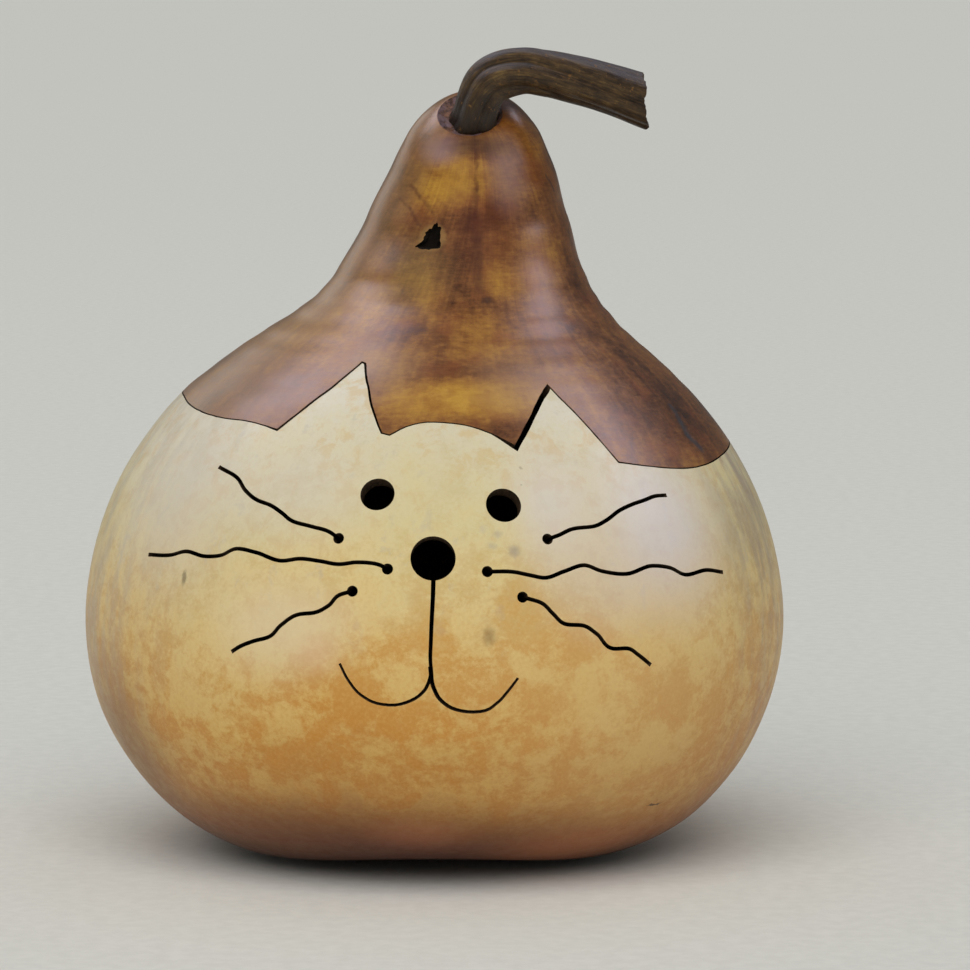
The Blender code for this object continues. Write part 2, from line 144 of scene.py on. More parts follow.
# Sawn whiskers, from the dot outwards: azimuth, height
WHISKER_SAW = 1.4
WHISKERS = {
    "left_upper": [
        (-105.5, 124.4), (-107.5, 126.6), (-110.5, 127.9), (-114.4, 129.5), (-116.6, 131.9),
        (-119, 134), (-122.2, 135.5), (-125.2, 138.2), (-128, 141.9), (-133.8, 145),
    ],
    "left_middle": [
        (-97, 114.8), (-98.3, 116.1), (-102, 116.8), (-105.1, 116), (-108.3, 116.8), (-111.7, 117.3),
        (-115, 116.3), (-120, 118.5), (-124, 119.2), (-126.9, 116.6), (-130.3, 115.8), (-134.7, 116.7),
        (-138.2, 114.9), (-144.5, 113.8),
    ],
    "left_lower": [
        (-102.5, 107.3), (-104.5, 106), (-106.3, 102.2), (-108.3, 99.9), (-111.2, 98.9), (-114, 95.1),
        (-116.1, 90.8), (-118.7, 89.1), (-121.1, 87), (-122.8, 84.8),
    ],
    "right_upper": [
        (-70.5, 123.9), (-68.6, 124.9), (-66, 126.7), (-61.1, 127.5), (-59, 129), (-55.8, 131.9),
        (-53, 133.4), (-49.8, 134.5), (-47.2, 135.4), (-44.2, 135.3),
    ],
    "right_middle": [
        (-81, 113.9), (-76.8, 113.6), (-74, 112.3), (-71.6, 111.3), (-68.3, 113.1), (-64.6, 114.8),
        (-61.7, 112.6), (-57, 111), (-51.8, 112.9), (-48, 111.7), (-44.8, 108.8), (-39.3, 109.3),
        (-34.8, 107.6),
    ],
    "right_lower": [
        (-75.5, 105.2), (-72.5, 103.1), (-70.7, 99.4), (-68.7, 95.7), (-65.6, 94.8), (-63.5, 91.9),
        (-60.6, 86.4), (-57.8, 86), (-56, 83.6), (-53.5, 79.6),
    ],
}

# Sawn mouth: one cut from the nose down and round to the left, and one that leaves it to the right
MOUTH_SAW = 1.6
MOUTH_SAW_END = 0.9
MOUTH_LEFT = [
    (-89.6, 114), (-89.7, 106), (-89.9, 97.6), (-90.1, 86.6), (-90.3, 77.6), (-91.1, 74.2), (-93, 71),
    (-95.6, 69.3), (-98.4, 69.8), (-100.8, 72.4), (-102.7, 77), (-104.2, 83.1),
]
MOUTH_RIGHT = [
    (-90.1, 82.6), (-89.6, 75.4), (-88.3, 70.7), (-86.4, 68), (-84, 66.9), (-81.6, 67.2), (-79.7, 69.8),
    (-78, 73.9), (-76.5, 78.2),
]

# Scar on the crown that the stem stands in: centre measured on the leaning crown from its own middle
SCAR_RADIUS = 12.6
SCAR_FLOOR = 3.0
SCAR_RIM = 0.2
SCAR_DISH = 3.6
SCAR_CUTTER = 12.0
SCAR_OFFSET = -4.0
SCAR_FORWARD = 1.2
SCAR_LUMPS = 0.6
SCAR_COARSE = 4.0
SCAR_FINE = 11.0
SCAR_CALM_EDGE = 5
SCAR_ROUNDS = 6

# Small pit in the lid: azimuth, height, half sizes across, up and into the shell. It is narrow above,
# leans over, and grows broader below a step
PIT = (-109.3, 225.4, 4.6, 4.9, 3.4)
PIT_NARROW = 0.62
PIT_STEP = 0.2
PIT_BASE = 1.5
PIT_SLOPE = 0.22
PIT_LUMPS = 0.3
PIT_LUMP_RATE = 1.9
PIT_RAGGED = 0.22
PIT_RAGGED_RATE = 5.0
PIT_ROUNDS = 4

# Shallow dent in the lid, pressed in round these places: depth, reach, and how many reaches it ends at
DENT = [(-26.7, 162.0), (-27.2, 158.5), (-28.2, 155.0), (-28.2, 151.5), (-26.6, 148.8)]
DENT_DEPTH = 0.5
DENT_REACH = 3.0
DENT_END = 3

# Stem: middle line from the foot to the cut end, and the radius there. The foot flares, and stands
# this far clear of the scar
GAP = 0.35
STEM_FORWARD = 2.6
STEM = [
    ((14.4, -17.9, 0), 7.6),
    ((14.9, -18.4, 264.9), 7.4),
    ((15.8, -18.8, 268.6), 7.5),
    ((19.1, -19.2, 275), 7.9),
    ((25.4, -19.4, 278.5), 8),
    ((31.4, -19.5, 279.6), 7.8),
    ((40.2, -19.5, 278.5), 7.8),
    ((51.3, -19.4, 275.9), 8),
    ((62.4, -19.2, 272.7), 8.3),
    ((74, -19, 268.5), 8.8),
]
FOOT_FLARE = 1.3
FOOT_HEIGHT = 6.0
STEM_POINTS = 80
STEM_STEP = 0.8
STEM_RIBS = 5
RIB_DEPTH = 0.09
RIB_TURN = math.radians(-50.0)
RIB_TWIST = math.radians(68.0)
RIB_EASE = 0.8
FIBRES = 26
FIBRE_DEPTH = 0.014
FIBRE_RATE = 0.012
STEM_PROBE = 0.5
# The cut end is slanted and ragged, and hollow inside its rim: noise round it by rate and by where it
# is read, and the rings inside it by size and depth
END_SLANT = 4.0
SLANT_LENGTH = 14.0
END_RAGGED = 1.3
RAGGED_LENGTH = 5.0
BITES = (2.6, 5.0)
SPLITS = (7.0, 1.0)
END_RINGS = [(0.86, 0.0), (0.6, 1.4)]

# Which material a face has where it isn't the skin
SAWN = 1
INSIDE = 2
SCAR = 3
PITTED = 4

# Edges sharper than these stay sharp
SHELL_SHARP = math.radians(35.0)
STEM_SHARP = math.radians(50.0)

# The grain: radius that the meridians are set on, and how much it is drawn out
GRAIN_RADIUS = 60.0
GRAIN_STRETCH = 0.12

# The room, which is dimmer where a gloss mirrors it
FLOOR_RADIUS = 60000.0
FLOOR_SIDES = 96
ROOM_COLOUR = (226, 229, 228)
WORLD_STRENGTH = 0.45
WORLD_GLOSS = 0.12

# Panels for the gloss alone, in metres and watts: from one direction to another, width, power, colour
PANEL_DISTANCE = 4.5
PANEL_HEIGHT = 0.2
PANELS = [
    ("left_panel", (162, 40), (118, 64), 1.9, 66, (0.9, 0.86, 1)),
    ("right_panel", (-6, 28), (36, 60), 1.4, 70, (0.9, 0.84, 1)),
    ("wall_panel", (148, 4), (112, 26), 1.6, 18, (1, 0.94, 0.88)),
]
# Broad light from in front: azimuth, elevation, strength, and how wide it is
FRONT_LIGHT = (-97.0, 48.0, 1.9, math.radians(60.0))

# Photograph: 970 pixels across, taken from this far away, at this height, and aimed here
PIXELS = 970
PIXEL_SIZE = 0.359
DISTANCE = 1800.0
ELEVATION = math.radians(6.0)
AIM = (17.7, 0.0, 130.6)
SENSOR = 36.0
CLIP_END = 100.0

# How the grain's middle leaves the axis over these heights: along X by so much, and along Y
NECK_SHIFT = (165.0, 245.0, 0.0, 13.5)
CROWN_SHIFT = (208.0, 270.0, 0.0, -14.0)
NOISE_MIDDLE = 0.5
SMEAR_DETAIL = 3.0

# Looks from here on. A cloud is given by where it is read, its size in millimetres, detail, roughness
# and distortion. A span of two numbers goes from 0 to 1, and one of four says what it goes from and
# to. The bowl's skin
BOWL_BRUSH = (0.9, 0.9, 1.15)
BOWL_CLOUDS = [
    ("place", 60, 3, 0.5),
    ("place", 13, 8, 0.72, 0.3),
    ("brushed", 5, 6, 0.75),
    ("place", 1.2, 3, 0.6),
    ("grain", 4, 5, 0.6),
    ("grain", 13, 3, 0.5),
    ("place", 8, 5, 0.68, 0.4),
    ("grain", 6, 4, 0.6),
    ("place", 34, 2, 0.5),
]
# How far the broad cloud and the mottle move the colours up and down, by height
DRIFT_REACH = (40.0, 60.0)
DRIFT_GROWS = (0.0, 60.0, 0.2, 1.0)
# Shares of mottle, fine, broad and height in the tone, and where it turns from light to dark
BOWL_SHARES = (0.6, 0.3, 0.1, 0.05)
LOWER_HALF = (150.0, 60.0)
BOWL_TURN = (0.475, 0.615)
GRIT_DARK = (0.4, 0.7, 0.0, 0.25)
GRIT_LIGHT = (0.6, 0.3, 0.0, 0.25)
# Flecks and smudges on the upper half
UPPER_HALF = (75.0, 115.0)
FLECKED = (0.5, 0.64, 0.0, 0.5)
FLECK_COLOUR = (206, 174, 116)
SMUDGE_SHARES = (0.5, 0.5)
SMUDGED = (0.44, 0.36, 0.0, 0.3)
SMUDGE_COLOUR = (176, 164, 156)
# Streaks down the flanks: shares of the clouds, where they show, and how they grow with height
STREAK_SHARES = (0.45, 0.35, 0.2)
STREAK_TURN = (0.42, 0.6)
STREAKS_GROW = (10.0, 110.0, 0.25, 1.0)
BOWL_SMEAR = (2.0, 2.2)
BOWL_ROUGHNESS = (0.3, 0.7, 0.4, 0.52)
BOWL_RELIEF = (0.6, 0.04)
BOWL_GLOSS = {"Specular IOR Level": 0.45, "Coat Weight": 0.08, "Coat Roughness": 0.35}

# Bowl's skin by height, in its light and in its dark places
RAMP_SPAN = 300.0
BOWL_LIGHT = [
    (2, (78, 42, 24)),
    (16, (158, 102, 48)),
    (36, (204, 160, 86)),
    (62, (218, 180, 104)),
    (95, (222, 193, 128)),
    (128, (216, 201, 152)),
    (165, (212, 204, 184)),
]
BOWL_DARK = [
    (2, (66, 34, 20)),
    (16, (138, 78, 30)),
    (36, (184, 124, 50)),
    (62, (200, 138, 54)),
    (95, (206, 156, 80)),
    (128, (208, 184, 122)),
    (165, (204, 192, 156)),
]
WASH_SOFTNESS = 0.8
# Places where the dark tone gathers or clears: azimuth, height, reach across and up, change
BOWL_WASHES = [
    (-104.2, 74, 14, 8, 0.05),
    (-76, 104.2, 7, 8, 0.09),
    (-68, 90.3, 9, 8, 0.09),
    (-92, 91.5, 12, 9, 0.07),
    (-98, 64.1, 16, 8, 0.06),
    (-48, 68, 10, 9, 0.06),
    (-111.5, 50, 16, 8, 0.05),
    (-119, 101, 6, 8, 0.06),
    (-96, 101, 8, 6, -0.09),
    (-60.2, 61.5, 8, 6, -0.08),
    (-128, 84, 26, 24, -0.07),
    (-51.5, 50, 10, 8, -0.09),
    (-45, 92, 22, 16, -0.05),
    (-113, 62, 8, 7, -0.05),
]
# Sides of the bowl where greyish streaks run down it: from and to along X, colour, strength.
# On the right side the bluish grey is partly painted reflection and painted shade
FLANK_STREAKS_AND_PAINTED_LIGHT = [
    (0.78, 0.95, (146, 128, 124), 0.6),
    (-0.6, -1, (176, 165, 148), 0.55),
]
# Patches of other colours: azimuth, height, reach across and up, softness, strength, colour. The
# lilac-white ones at azimuths -140, -114, -69, -62 and -48 are partly painted sheen, and the dark one
# under the front of the base is partly painted shade
BOWL_MARKS_SHEEN_AND_SHADE = [
    (-55, 66, 42, 36, 0.9, 0.3, (226, 192, 132)),
    (-115, 95, 20, 14, 0.9, 0.65, (226, 208, 170)),
    (-91, 140, 24, 16, 0.9, 0.35, (207, 192, 146)),
    # Partly the base's own brown, partly painted shade under its front
    (-98, 4, 56, 16, 0.8, 0.75, (84, 36, 9)),
    (-156, 42, 22, 26, 0.9, 0.6, (120, 80, 36)),
    (-125, 20, 26, 12, 0.9, 0.45, (114, 68, 28)),
    (-69, 134, 12, 24, 0.9, 0.6, (216, 207, 204)),
    (-140, 134, 26, 26, 0.9, 0.45, (212, 204, 198)),
    (-58, 10, 22, 10, 0.8, 0.4, (196, 120, 70)),
    (-48, 126, 24, 24, 0.9, 0.7, (216, 208, 214)),
    (-62, 108, 16, 14, 0.9, 0.4, (214, 200, 184)),
    (-114, 138, 22, 14, 0.9, 0.4, (210, 202, 192)),
    (-108, 98, 14, 8, 0.9, 0.4, (222, 200, 158)),
    (-134, 107.9, 1.2, 2.4, 0.5, 0.6, (96, 84, 60)),
    (-73.5, 147, 0.5, 0.5, 0.5, 0.4, (105, 85, 60)),
    (-74, 141.6, 0.5, 0.5, 0.5, 0.4, (105, 85, 60)),
    (-76.4, 120.2, 1.7, 1.7, 0.8, 0.5, (140, 130, 128)),
    (-79, 126, 1.4, 1.2, 0.8, 0.35, (150, 140, 136)),
    (-80, 122.2, 1.6, 1.2, 0.8, 0.3, (150, 140, 136)),
    (-81, 92.6, 1.9, 2.6, 0.8, 0.5, (122, 94, 54)),
    (-43.8, 27.2, 3.4, 0.4, 0.4, 0.8, (52, 34, 24)),
    (-93, 20, 14, 6, 0.9, 0.3, (190, 116, 76)),
    (-108, 86, 7, 5, 0.9, 0.35, (222, 180, 142)),
]

# The lid's skin, brushed round the gourd more than up it
LID_BRUSH = (0.35, 0.35, 1.6)
LID_CLOUDS = [
    ("place", 26, 8, 0.68, 0.4),
    ("grain", 2.2, 5, 0.65),
    ("grain", 9, 4, 0.6),
    ("brushed", 1.5, 5, 0.7),
    ("place", 2.6, 5, 0.7),
    ("place", 13, 4, 0.6),
    ("place", 24, 2, 0.5),
]
# Shares of blots, broad grain, grain, strokes and crackle in the lid's tone
LID_SHARES = (0.4, 0.14, 0.12, 0.18, 0.16)
REDDENED = (0.48, 0.66, 0.0, 0.35)
RED_COLOUR = (126, 62, 22)
PALE_FLANK = (-0.55, -0.8)
PALE_STRENGTH = 0.3
PALE_COLOUR = (146, 116, 70)
LID_SMEAR = (2.5, 2.2)
LID_ROUGHNESS = (0.35, 0.65, 0.32, 0.44)
LID_RELIEF = (0.35, 0.03, 0.02)
LID_GLOSS = {"Specular IOR Level": 0.5, "Coat Weight": 0.3, "Coat Roughness": 0.26}

# Lid's skin by tone, dark to amber
LID_TONES = [
    (0.36, (56, 28, 8)),
    (0.43, (88, 49, 17)),
    (0.5, (121, 74, 29)),
    (0.57, (150, 101, 37)),
    (0.65, (174, 126, 42)),
    (0.76, (194, 148, 54)),
]
# Places where the stain is thin or thick: azimuth, height, reach across and up, change of tone.
# Those at (-105, 182) and (-74, 187) are partly thin stain and partly a painted sheen on the shoulder
LID_WASHES_AND_SHEEN = [
    (-104, 249, 12, 12, 0.13),
    (-112, 240, 12, 7, 0.07),
    (-84, 238.5, 18, 6, -0.15),
    (-110, 233, 12, 4, -0.05),
    (-104, 207, 6, 9, 0.07),
    (-105, 182, 10, 7, 0.08),
    (-73, 206, 6, 10, 0.1),
    (-74, 187, 12, 9, 0.07),
    (-150, 190, 26, 22, 0.06),
    (-116, 202, 14, 12, 0.05),
    (-91, 169, 13, 7, 0.14),
    (-76, 169, 15, 6.5, 0.2),
    (-72, 243, 9, 12, 0.05),
    (-86, 227, 9, 12, -0.03),
    (-87, 210, 8, 12, -0.09),
    (-76, 200, 6, 5, -0.08),
    (-46, 226, 10, 34, 0.03),
    (-84, 178, 18, 4, -0.02),
    (-30, 186, 26, 30, -0.01),
    (-28, 162, 24, 18, -0.07),
]
# Patches of other colours, as on the bowl. The pale ones at (-106, 178) and (-69, 174) are partly
# painted sheen on the shoulder, and the last two are painted highlights on the crown
LID_TINTS_AND_SHEEN = [
    (-114, 210, 12, 14, 0.8, 0.35, (112, 100, 62)),
    (-80, 232, 12, 18, 0.8, 0.3, (116, 56, 30)),
    (-128, 168, 20, 10, 0.8, 0.35, (150, 104, 70)),
    # These two are partly painted sheen on the shoulder
    (-106, 178, 12, 9, 0.9, 0.4, (158, 124, 92)),
    (-69, 174, 13, 14, 0.9, 0.4, (152, 122, 102)),
    # Painted highlights on the crown, one to each side
    (-60, 255, 6, 13, 0.9, 0.5, (150, 124, 124)),
    (-130, 260, 6, 4.5, 0.9, 0.6, (156, 130, 138)),
]
# Lines in the lid's skin: azimuth and height of both ends, width, softness, strength, colour
LID_LINES = [
    (-88.5, 261.5, -87.6, 248, 0.7, 0.8, 0.6, (84, 34, 16)),
    (-87.6, 248, -86.5, 236, 1.1, 0.9, 0.55, (78, 32, 16)),
    (-86.5, 236, -84.5, 224.5, 1.8, 0.9, 0.55, (78, 34, 18)),
    (-84.5, 224.5, -81, 204, 1.8, 0.9, 0.5, (70, 34, 20)),
    (-140, 245.6, -129, 242.6, 0.8, 0.9, 0.55, (84, 42, 20)),
    (-129, 242.6, -113, 236.6, 0.6, 0.9, 0.35, (84, 44, 20)),
    (-144, 239.4, -131.2, 236.8, 0.6, 0.9, 0.4, (84, 42, 20)),
    (-131.2, 236.8, -118.5, 229.8, 0.6, 0.9, 0.45, (76, 38, 20)),
    (-23.3, 246.2, -19, 239.8, 0.5, 0.6, 0.75, (44, 30, 24)),
    (-26.7, 162.8, -27.4, 157.6, 1.3, 0.8, 0.8, (54, 50, 54)),
    (-27.4, 157.6, -28.4, 153, 1.5, 0.8, 0.8, (54, 52, 58)),
    (-28.4, 153, -26.4, 148.6, 1.5, 0.8, 0.8, (54, 52, 58)),
]
LID_MARKS = [
    (-90, 262.5, 11, 3.4, 0.8, 0.6, (66, 44, 32)),
    (-77.2, 200.3, 1.8, 1.4, 0.7, 0.7, (50, 30, 24)),
    (-99.2, 190.6, 2.4, 1.2, 0.7, 0.5, (66, 42, 32)),
    (-109.3, 225.2, 4.7, 5.3, 0.2, 0.3, (170, 136, 76)),
]

# The stem's fibres, drawn out along it, its top greyed by a painted sky reflection, and its dark foot
STEM_STRETCH = (1.0, 1.0, 0.12)
STEM_CLOUDS = [
    ("stretched", 0.7, 5, 0.72),
    ("stretched", 3, 3, 0.6),
    ("strand", 6, 5, 0.68),
    ("strand", 2, 3, 0.6),
]
STEM_SHARES = (0.42, 0.28, 0.3)
STEM_SHEEN_SPAN = (0.35, 0.9, 0.0, 0.5)
STEM_SHEEN_COLOUR = (98, 96, 104)
STEM_FOOT = (18.0, 0.0, 0.0, 0.9)
STEM_FOOT_COLOUR = (30, 18, 10)
OCHRE_FLECKS = (0.62, 0.7)
OCHRE_STRENGTH = 0.6
OCHRE_COLOUR = (128, 90, 44)
STEM_ROUGHNESS = (0.3, 0.7, 0.34, 0.55)
STEM_RELIEF = (0.4, 0.5)
STEM_GLOSS = {"Specular IOR Level": 0.45}
STEM_TONES = [
    (0.37, (24, 16, 9)),
    (0.46, (48, 34, 19)),
    (0.54, (78, 58, 32)),
    (0.63, (114, 90, 50)),
]

# Plain rough materials: the corky wall that saw and drill laid bare, the scraped inside, the scar that
# the stem stands in, with painted lilac reflections on its lumps, the near-black pit, and the floor
ROUGH_SPAN = (0.3, 0.7)
ROUGH_SKINS = {
    "sawn_shell": {
        "lumps": (0.8, 4.0, 0.7),
        "turn": (0.35, 0.65),
        "colours": ((48, 37, 28), (96, 76, 56)),
        "roughness": (0.7, 0.9),
        "relief": 0.15,
        "specular": 0.3,
    },
    "shell_inside": {
        "lumps": (5.0, 5.0, 0.7),
        "turn": (0.35, 0.65),
        "colours": ((66, 46, 32), (120, 90, 60)),
        "fibres": (1.2, 3.0, 0.6),
        "fibre_strength": 0.4,
        "fibre_colour": (150, 118, 80),
        "roughness": (0.8, 0.95),
        "relief": 0.4,
        "specular": 0.2,
    },
    "stem_scar": {
        "lumps": (2.0, 5.0, 0.75),
        "turn": (0.38, 0.62),
        "colours": ((62, 38, 28), (140, 96, 68)),
        # Lilac blots that are painted reflections on the scar's lumps
        "blot": (4.0, 3.0, 0.6),
        "blotted": (0.5, 0.62, 0.0, 0.6),
        "blot_colour": (92, 82, 100),
        "roughness": (0.32, 0.6),
        "relief": 0.9,
        "specular": 0.5,
    },
    "dark_pit": {
        "lumps": (1.0, 4.0, 0.7),
        "colours": ((8, 7, 6), (34, 28, 22)),
        "roughness": (0.8, 0.95),
        "relief": 0.4,
        "specular": 0.15,
    },
    "pale_floor": {
        "lumps": (6.0, 3.0, 0.6),
        "turn": (0.3, 0.7),
        "colours": ((220, 219, 213), (226, 225, 219)),
        "roughness": (0.7, 0.85),
        "relief": 0.1,
        "specular": 0.2,
    },
}


def smooth_line(points):
    """Knots along a line through points, and the slope at each knot."""
    knots = [0.0]
    for a, b in zip(points, points[1:]):
        knots.append(knots[-1] + (b - a).length)
    slopes = [(points[1] - points[0]) / knots[1]]
    for before, here, after, k0, k1, k2 in zip(points, points[1:], points[2:], knots, knots[1:], knots[2:]):
        back = (here - before) / (k1 - k0)
        ahead = (after - here) / (k2 - k1)
        slopes.append((back * (k2 - k1) + ahead * (k1 - k0)) / (k2 - k0))
    slopes.append((points[-1] - points[-2]) / (knots[-1] - knots[-2]))
    return points, knots, slopes


def on_line(line, along):
    """The point that lies a given length along a smooth line."""
    points, knots, slopes = line
    i = 0
    while i < len(knots) - 2 and along > knots[i + 1]:
        i += 1
    step = knots[i + 1] - knots[i]
    t = (along - knots[i]) / step
    start = points[i] * (2 * t**3 - 3 * t**2 + 1) + slopes[i] * (step * (t**3 - 2 * t**2 + t))
    end = points[i + 1] * (3 * t**2 - 2 * t**3) + slopes[i + 1] * (step * (t**3 - t**2))
    return start + end


def mirrored_rings():
    """The rings as (height, radius), carried past both poles so that the line is smooth there."""
    flat = [Vector((z, r)) for z, _, r in RINGS]
    before = Vector((flat[1][0], -flat[1][1]))
    after = Vector((flat[-2][0], -flat[-2][1]))
    return [before] + flat + [after]


OUTLINE = smooth_line(mirrored_rings())
START = OUTLINE[1][1]
LENGTH = OUTLINE[1][-2] - START
WIDEST_AT = OUTLINE[1][WIDEST + 1] - START
CENTRES = [ring[1] for ring in RINGS]


def clamp(value, low=0.0, high=1.0):
    return min(high, max(low, value))


def evened_outline():
    """The outline's points at even steps, with the bends of the neck and shoulders evened out."""
    count = math.ceil(LENGTH / EVEN_STEP)
    points = [on_line(OUTLINE, START + LENGTH * k / count) for k in range(count + 1)]
    for _ in range(EVEN_ROUNDS):
        averages = [(a + b * 2 + c) / 4 for a, b, c in zip(points, points[1:], points[2:])]
        pairs = zip(averages, points[1:-1])
        points[1:-1] = [new if EVEN_FROM < old.x < EVEN_TO else old for new, old in pairs]
    return points


EVENED = evened_outline()


def on_outline(along):
    """Height and radius at a length up the outline."""
    last = len(EVENED) - 1
    at = clamp(along, 0.0, LENGTH) / LENGTH * last
    i = min(int(at), last - 1)
    t = at - i
    a, b, c, d = EVENED[max(i - 1, 0)], EVENED[i], EVENED[i + 1], EVENED[min(i + 2, last)]
    return b + (c - a + (a * 2 - b * 5 + c * 4 - d + (b * 3 - c * 3 + d - a) * t) * t) * (t / 2)


def centre_x(along):
    """X of a ring's centre, read off between the rings."""
    knots = OUTLINE[1][1:-1]
    place_on = clamp(along, 0.0, LENGTH) + START
    i = 0
    while i < len(knots) - 2 and place_on > knots[i + 1]:
        i += 1
    t = (place_on - knots[i]) / (knots[i + 1] - knots[i])
    return CENTRES[i] + (CENTRES[i + 1] - CENTRES[i]) * t * t * (3 - 2 * t)


def surface(along, azimuth):
    """Point on the outside, by length up the outline from the dimple and by azimuth in radians."""
    height, radius = on_outline(along)
    radius = max(radius, 0.0)
    if along < WIDEST_AT:
        low = clamp(1 - height / LOBE_REACH)
        wave = 1 - math.cos(LOBES * (azimuth - math.radians(LOBE_AT)))
        height += LOBE_LIFT * wave * low**2 * clamp(radius / LOBE_RADIUS) ** 2 - WORN * low
    share = clamp((height - LEAN_FROM) / (LEAN_TO - LEAN_FROM))
    tilt = LEAN * share**LEAN_EASE
    forward = -tilt * share * (LEAN_TO - LEAN_FROM) / (LEAN_EASE + 1)
    side = radius * math.cos(azimuth)
    depth = radius * math.sin(azimuth)
    tilted = (forward + depth * math.cos(tilt), height + depth * math.sin(tilt))
    return Vector((centre_x(along) + side, *tilted))


def outward(along, azimuth):
    """Outward normal there."""
    step = 0.5
    turn = 0.01
    along = clamp(along, step, LENGTH - step)
    up = surface(along + step, azimuth) - surface(along - step, azimuth)
    round_it = surface(along, azimuth + turn) - surface(along, azimuth - turn)
    return round_it.cross(up).normalized()


def length_up(height):
    """Length up the outline to a height on the side of the gourd."""
    low = WIDEST_AT * 0.5
    high = LENGTH
    for _ in range(HALVINGS):
        middle = (low + high) / 2
        if on_outline(middle)[0] < height:
            low = middle
        else:
            high = middle
    return low


def place(azimuth, height):
    """Point and outward normal at an azimuth in degrees and a height."""
    along = length_up(height)
    angle = math.radians(azimuth)
    return surface(along, angle), outward(along, angle)


def wall_at(height):
    share = clamp((height - THICKER_FROM) / (LEAN_TO - THICKER_FROM))
    return WALL + (WALL_CROWN - WALL) * share


def rows_evenly(share):
    """Length up the outline of a row, a little denser at both poles."""
    return LENGTH * (share - CROWDING * math.sin(2 * math.pi * share))


def rows_for_bowl(share):
    """Nearly all rows lie below the bowl's rim, and a few close the form above it."""
    rim = length_up(BOWL_TOP)
    dense = 1 - COARSE_ROWS
    if share < dense:
        part = share / dense
        return rim * (part - CROWDING * math.sin(math.pi * part) / 2)
    return rim + (LENGTH - rim) * (share - dense) / COARSE_ROWS


def rows_for_lid(share):
    """Nearly all rows lie above the lid's edge, and a few close the form below it."""
    edge = length_up(LID_BOTTOM)
    if share < COARSE_ROWS:
        return edge * share / COARSE_ROWS
    part = (share - COARSE_ROWS) / (1 - COARSE_ROWS)
    return edge + (LENGTH - edge) * (part + CROWDING * math.sin(math.pi * part))


def gourd_solid(columns, rows, spread, inside=False):
    """The gourd's outside, or the surface one wall thickness inside it, as a closed mesh."""
    shape = bmesh.new()
    bmesh.ops.create_uvsphere(shape, u_segments=columns, v_segments=rows, radius=1.0)
    lengths = [spread(row / rows) for row in range(rows + 1)]
    for vert in shape.verts:
        share = math.acos(clamp(-vert.co.z, -1.0, 1.0)) / math.pi
        along = lengths[round(share * rows)]
        azimuth = math.atan2(vert.co.y, vert.co.x)
        point = surface(along, azimuth)
        if inside:
            point -= outward(along, azimuth) * wall_at(point.z)
        else:
            point.z = max(point.z, 0.0)
        vert.co = point
    if inside:
        paint(shape, INSIDE)
    return shape


def paint(shape, slot_number):
    for face in shape.faces:
        face.material_index = slot_number


def loft(shape, rings, fan_ends=False):
    """Draw the first ring as a circle's face and pull it through the other rings."""
    number = shape.verts.layers.int.get("number") or shape.verts.layers.int.new("number")
    station = shape.verts.layers.int.get("station") or shape.verts.layers.int.new("station")
    drawn = bmesh.ops.create_circle(shape, cap_ends=True, segments=len(rings[0]), radius=1.0)["verts"]
    for i, vert in enumerate(drawn):
        vert[number] = i
        vert.co = rings[0][i]
    end = drawn[0].link_faces[0]
    for k, ring in enumerate(rings[1:], start=1):
        pulled = bmesh.ops.extrude_face_region(shape, geom=[end, *end.edges])["geom"]
        end = next(item for item in pulled if isinstance(item, bmesh.types.BMFace))
        for vert in end.verts:
            vert[station] = k
            vert.co = ring[vert[number]]
    if fan_ends:
        caps = [face for face in shape.faces if len(face.verts) > 4]
        bmesh.ops.poke(shape, faces=caps)


def new_object(name, shape, materials=()):
    """Turn a mesh in millimetres into an object in metres."""
    bmesh.ops.recalc_face_normals(shape, faces=shape.faces)
    shape.transform(Matrix.Scale(METRE, 4))
    mesh = bpy.data.meshes.new(name)
    shape.to_mesh(mesh)
    shape.free()
    for material in materials:
        mesh.materials.append(material)
    obj = bpy.data.objects.new(name, mesh)
    bpy.context.scene.collection.objects.link(obj)
    return obj


def wander(azimuth, rate, read_at):
    """Noise along the cut."""
    return noise.noise(Vector((azimuth * rate, read_at, 0.0)))


def cut_marks():
    """The lid cut as azimuth, height and gap at short steps, with smooth bends between its corners."""
    ring = LID_CUT + [(LID_CUT[0][0] + 360.0, *LID_CUT[0][1:])]
    stops = [0] + [i for i, mark in enumerate(ring) if mark[0] in CORNERS] + [len(ring) - 1]
    marks = []
    for first, last in zip(stops, stops[1:]):
        run = [Vector((a * DEGREE, h, g)) for a, h, g in ring[first : last + 1]]
        line = smooth_line(run)
        pieces = max(1, math.ceil(line[1][-1] / CUT_STEP))
        for k in range(pieces):
            here = on_line(line, line[1][-1] * k / pieces)
            azimuth = here[0] / DEGREE
            gap = ring[first][2] if last - first == 1 else here[2]
            gap *= 1 + GAP_WOBBLE * wander(azimuth, *SWELL)
            if NICKED[0] < azimuth < NICKED[1]:
                gap += NICK * max(0.0, wander(azimuth, *NICKS) - NICK_FROM)
            marks.append((azimuth, here[1] + CUT_WOBBLE * wander(azimuth, *TREMBLE), gap))
    return marks


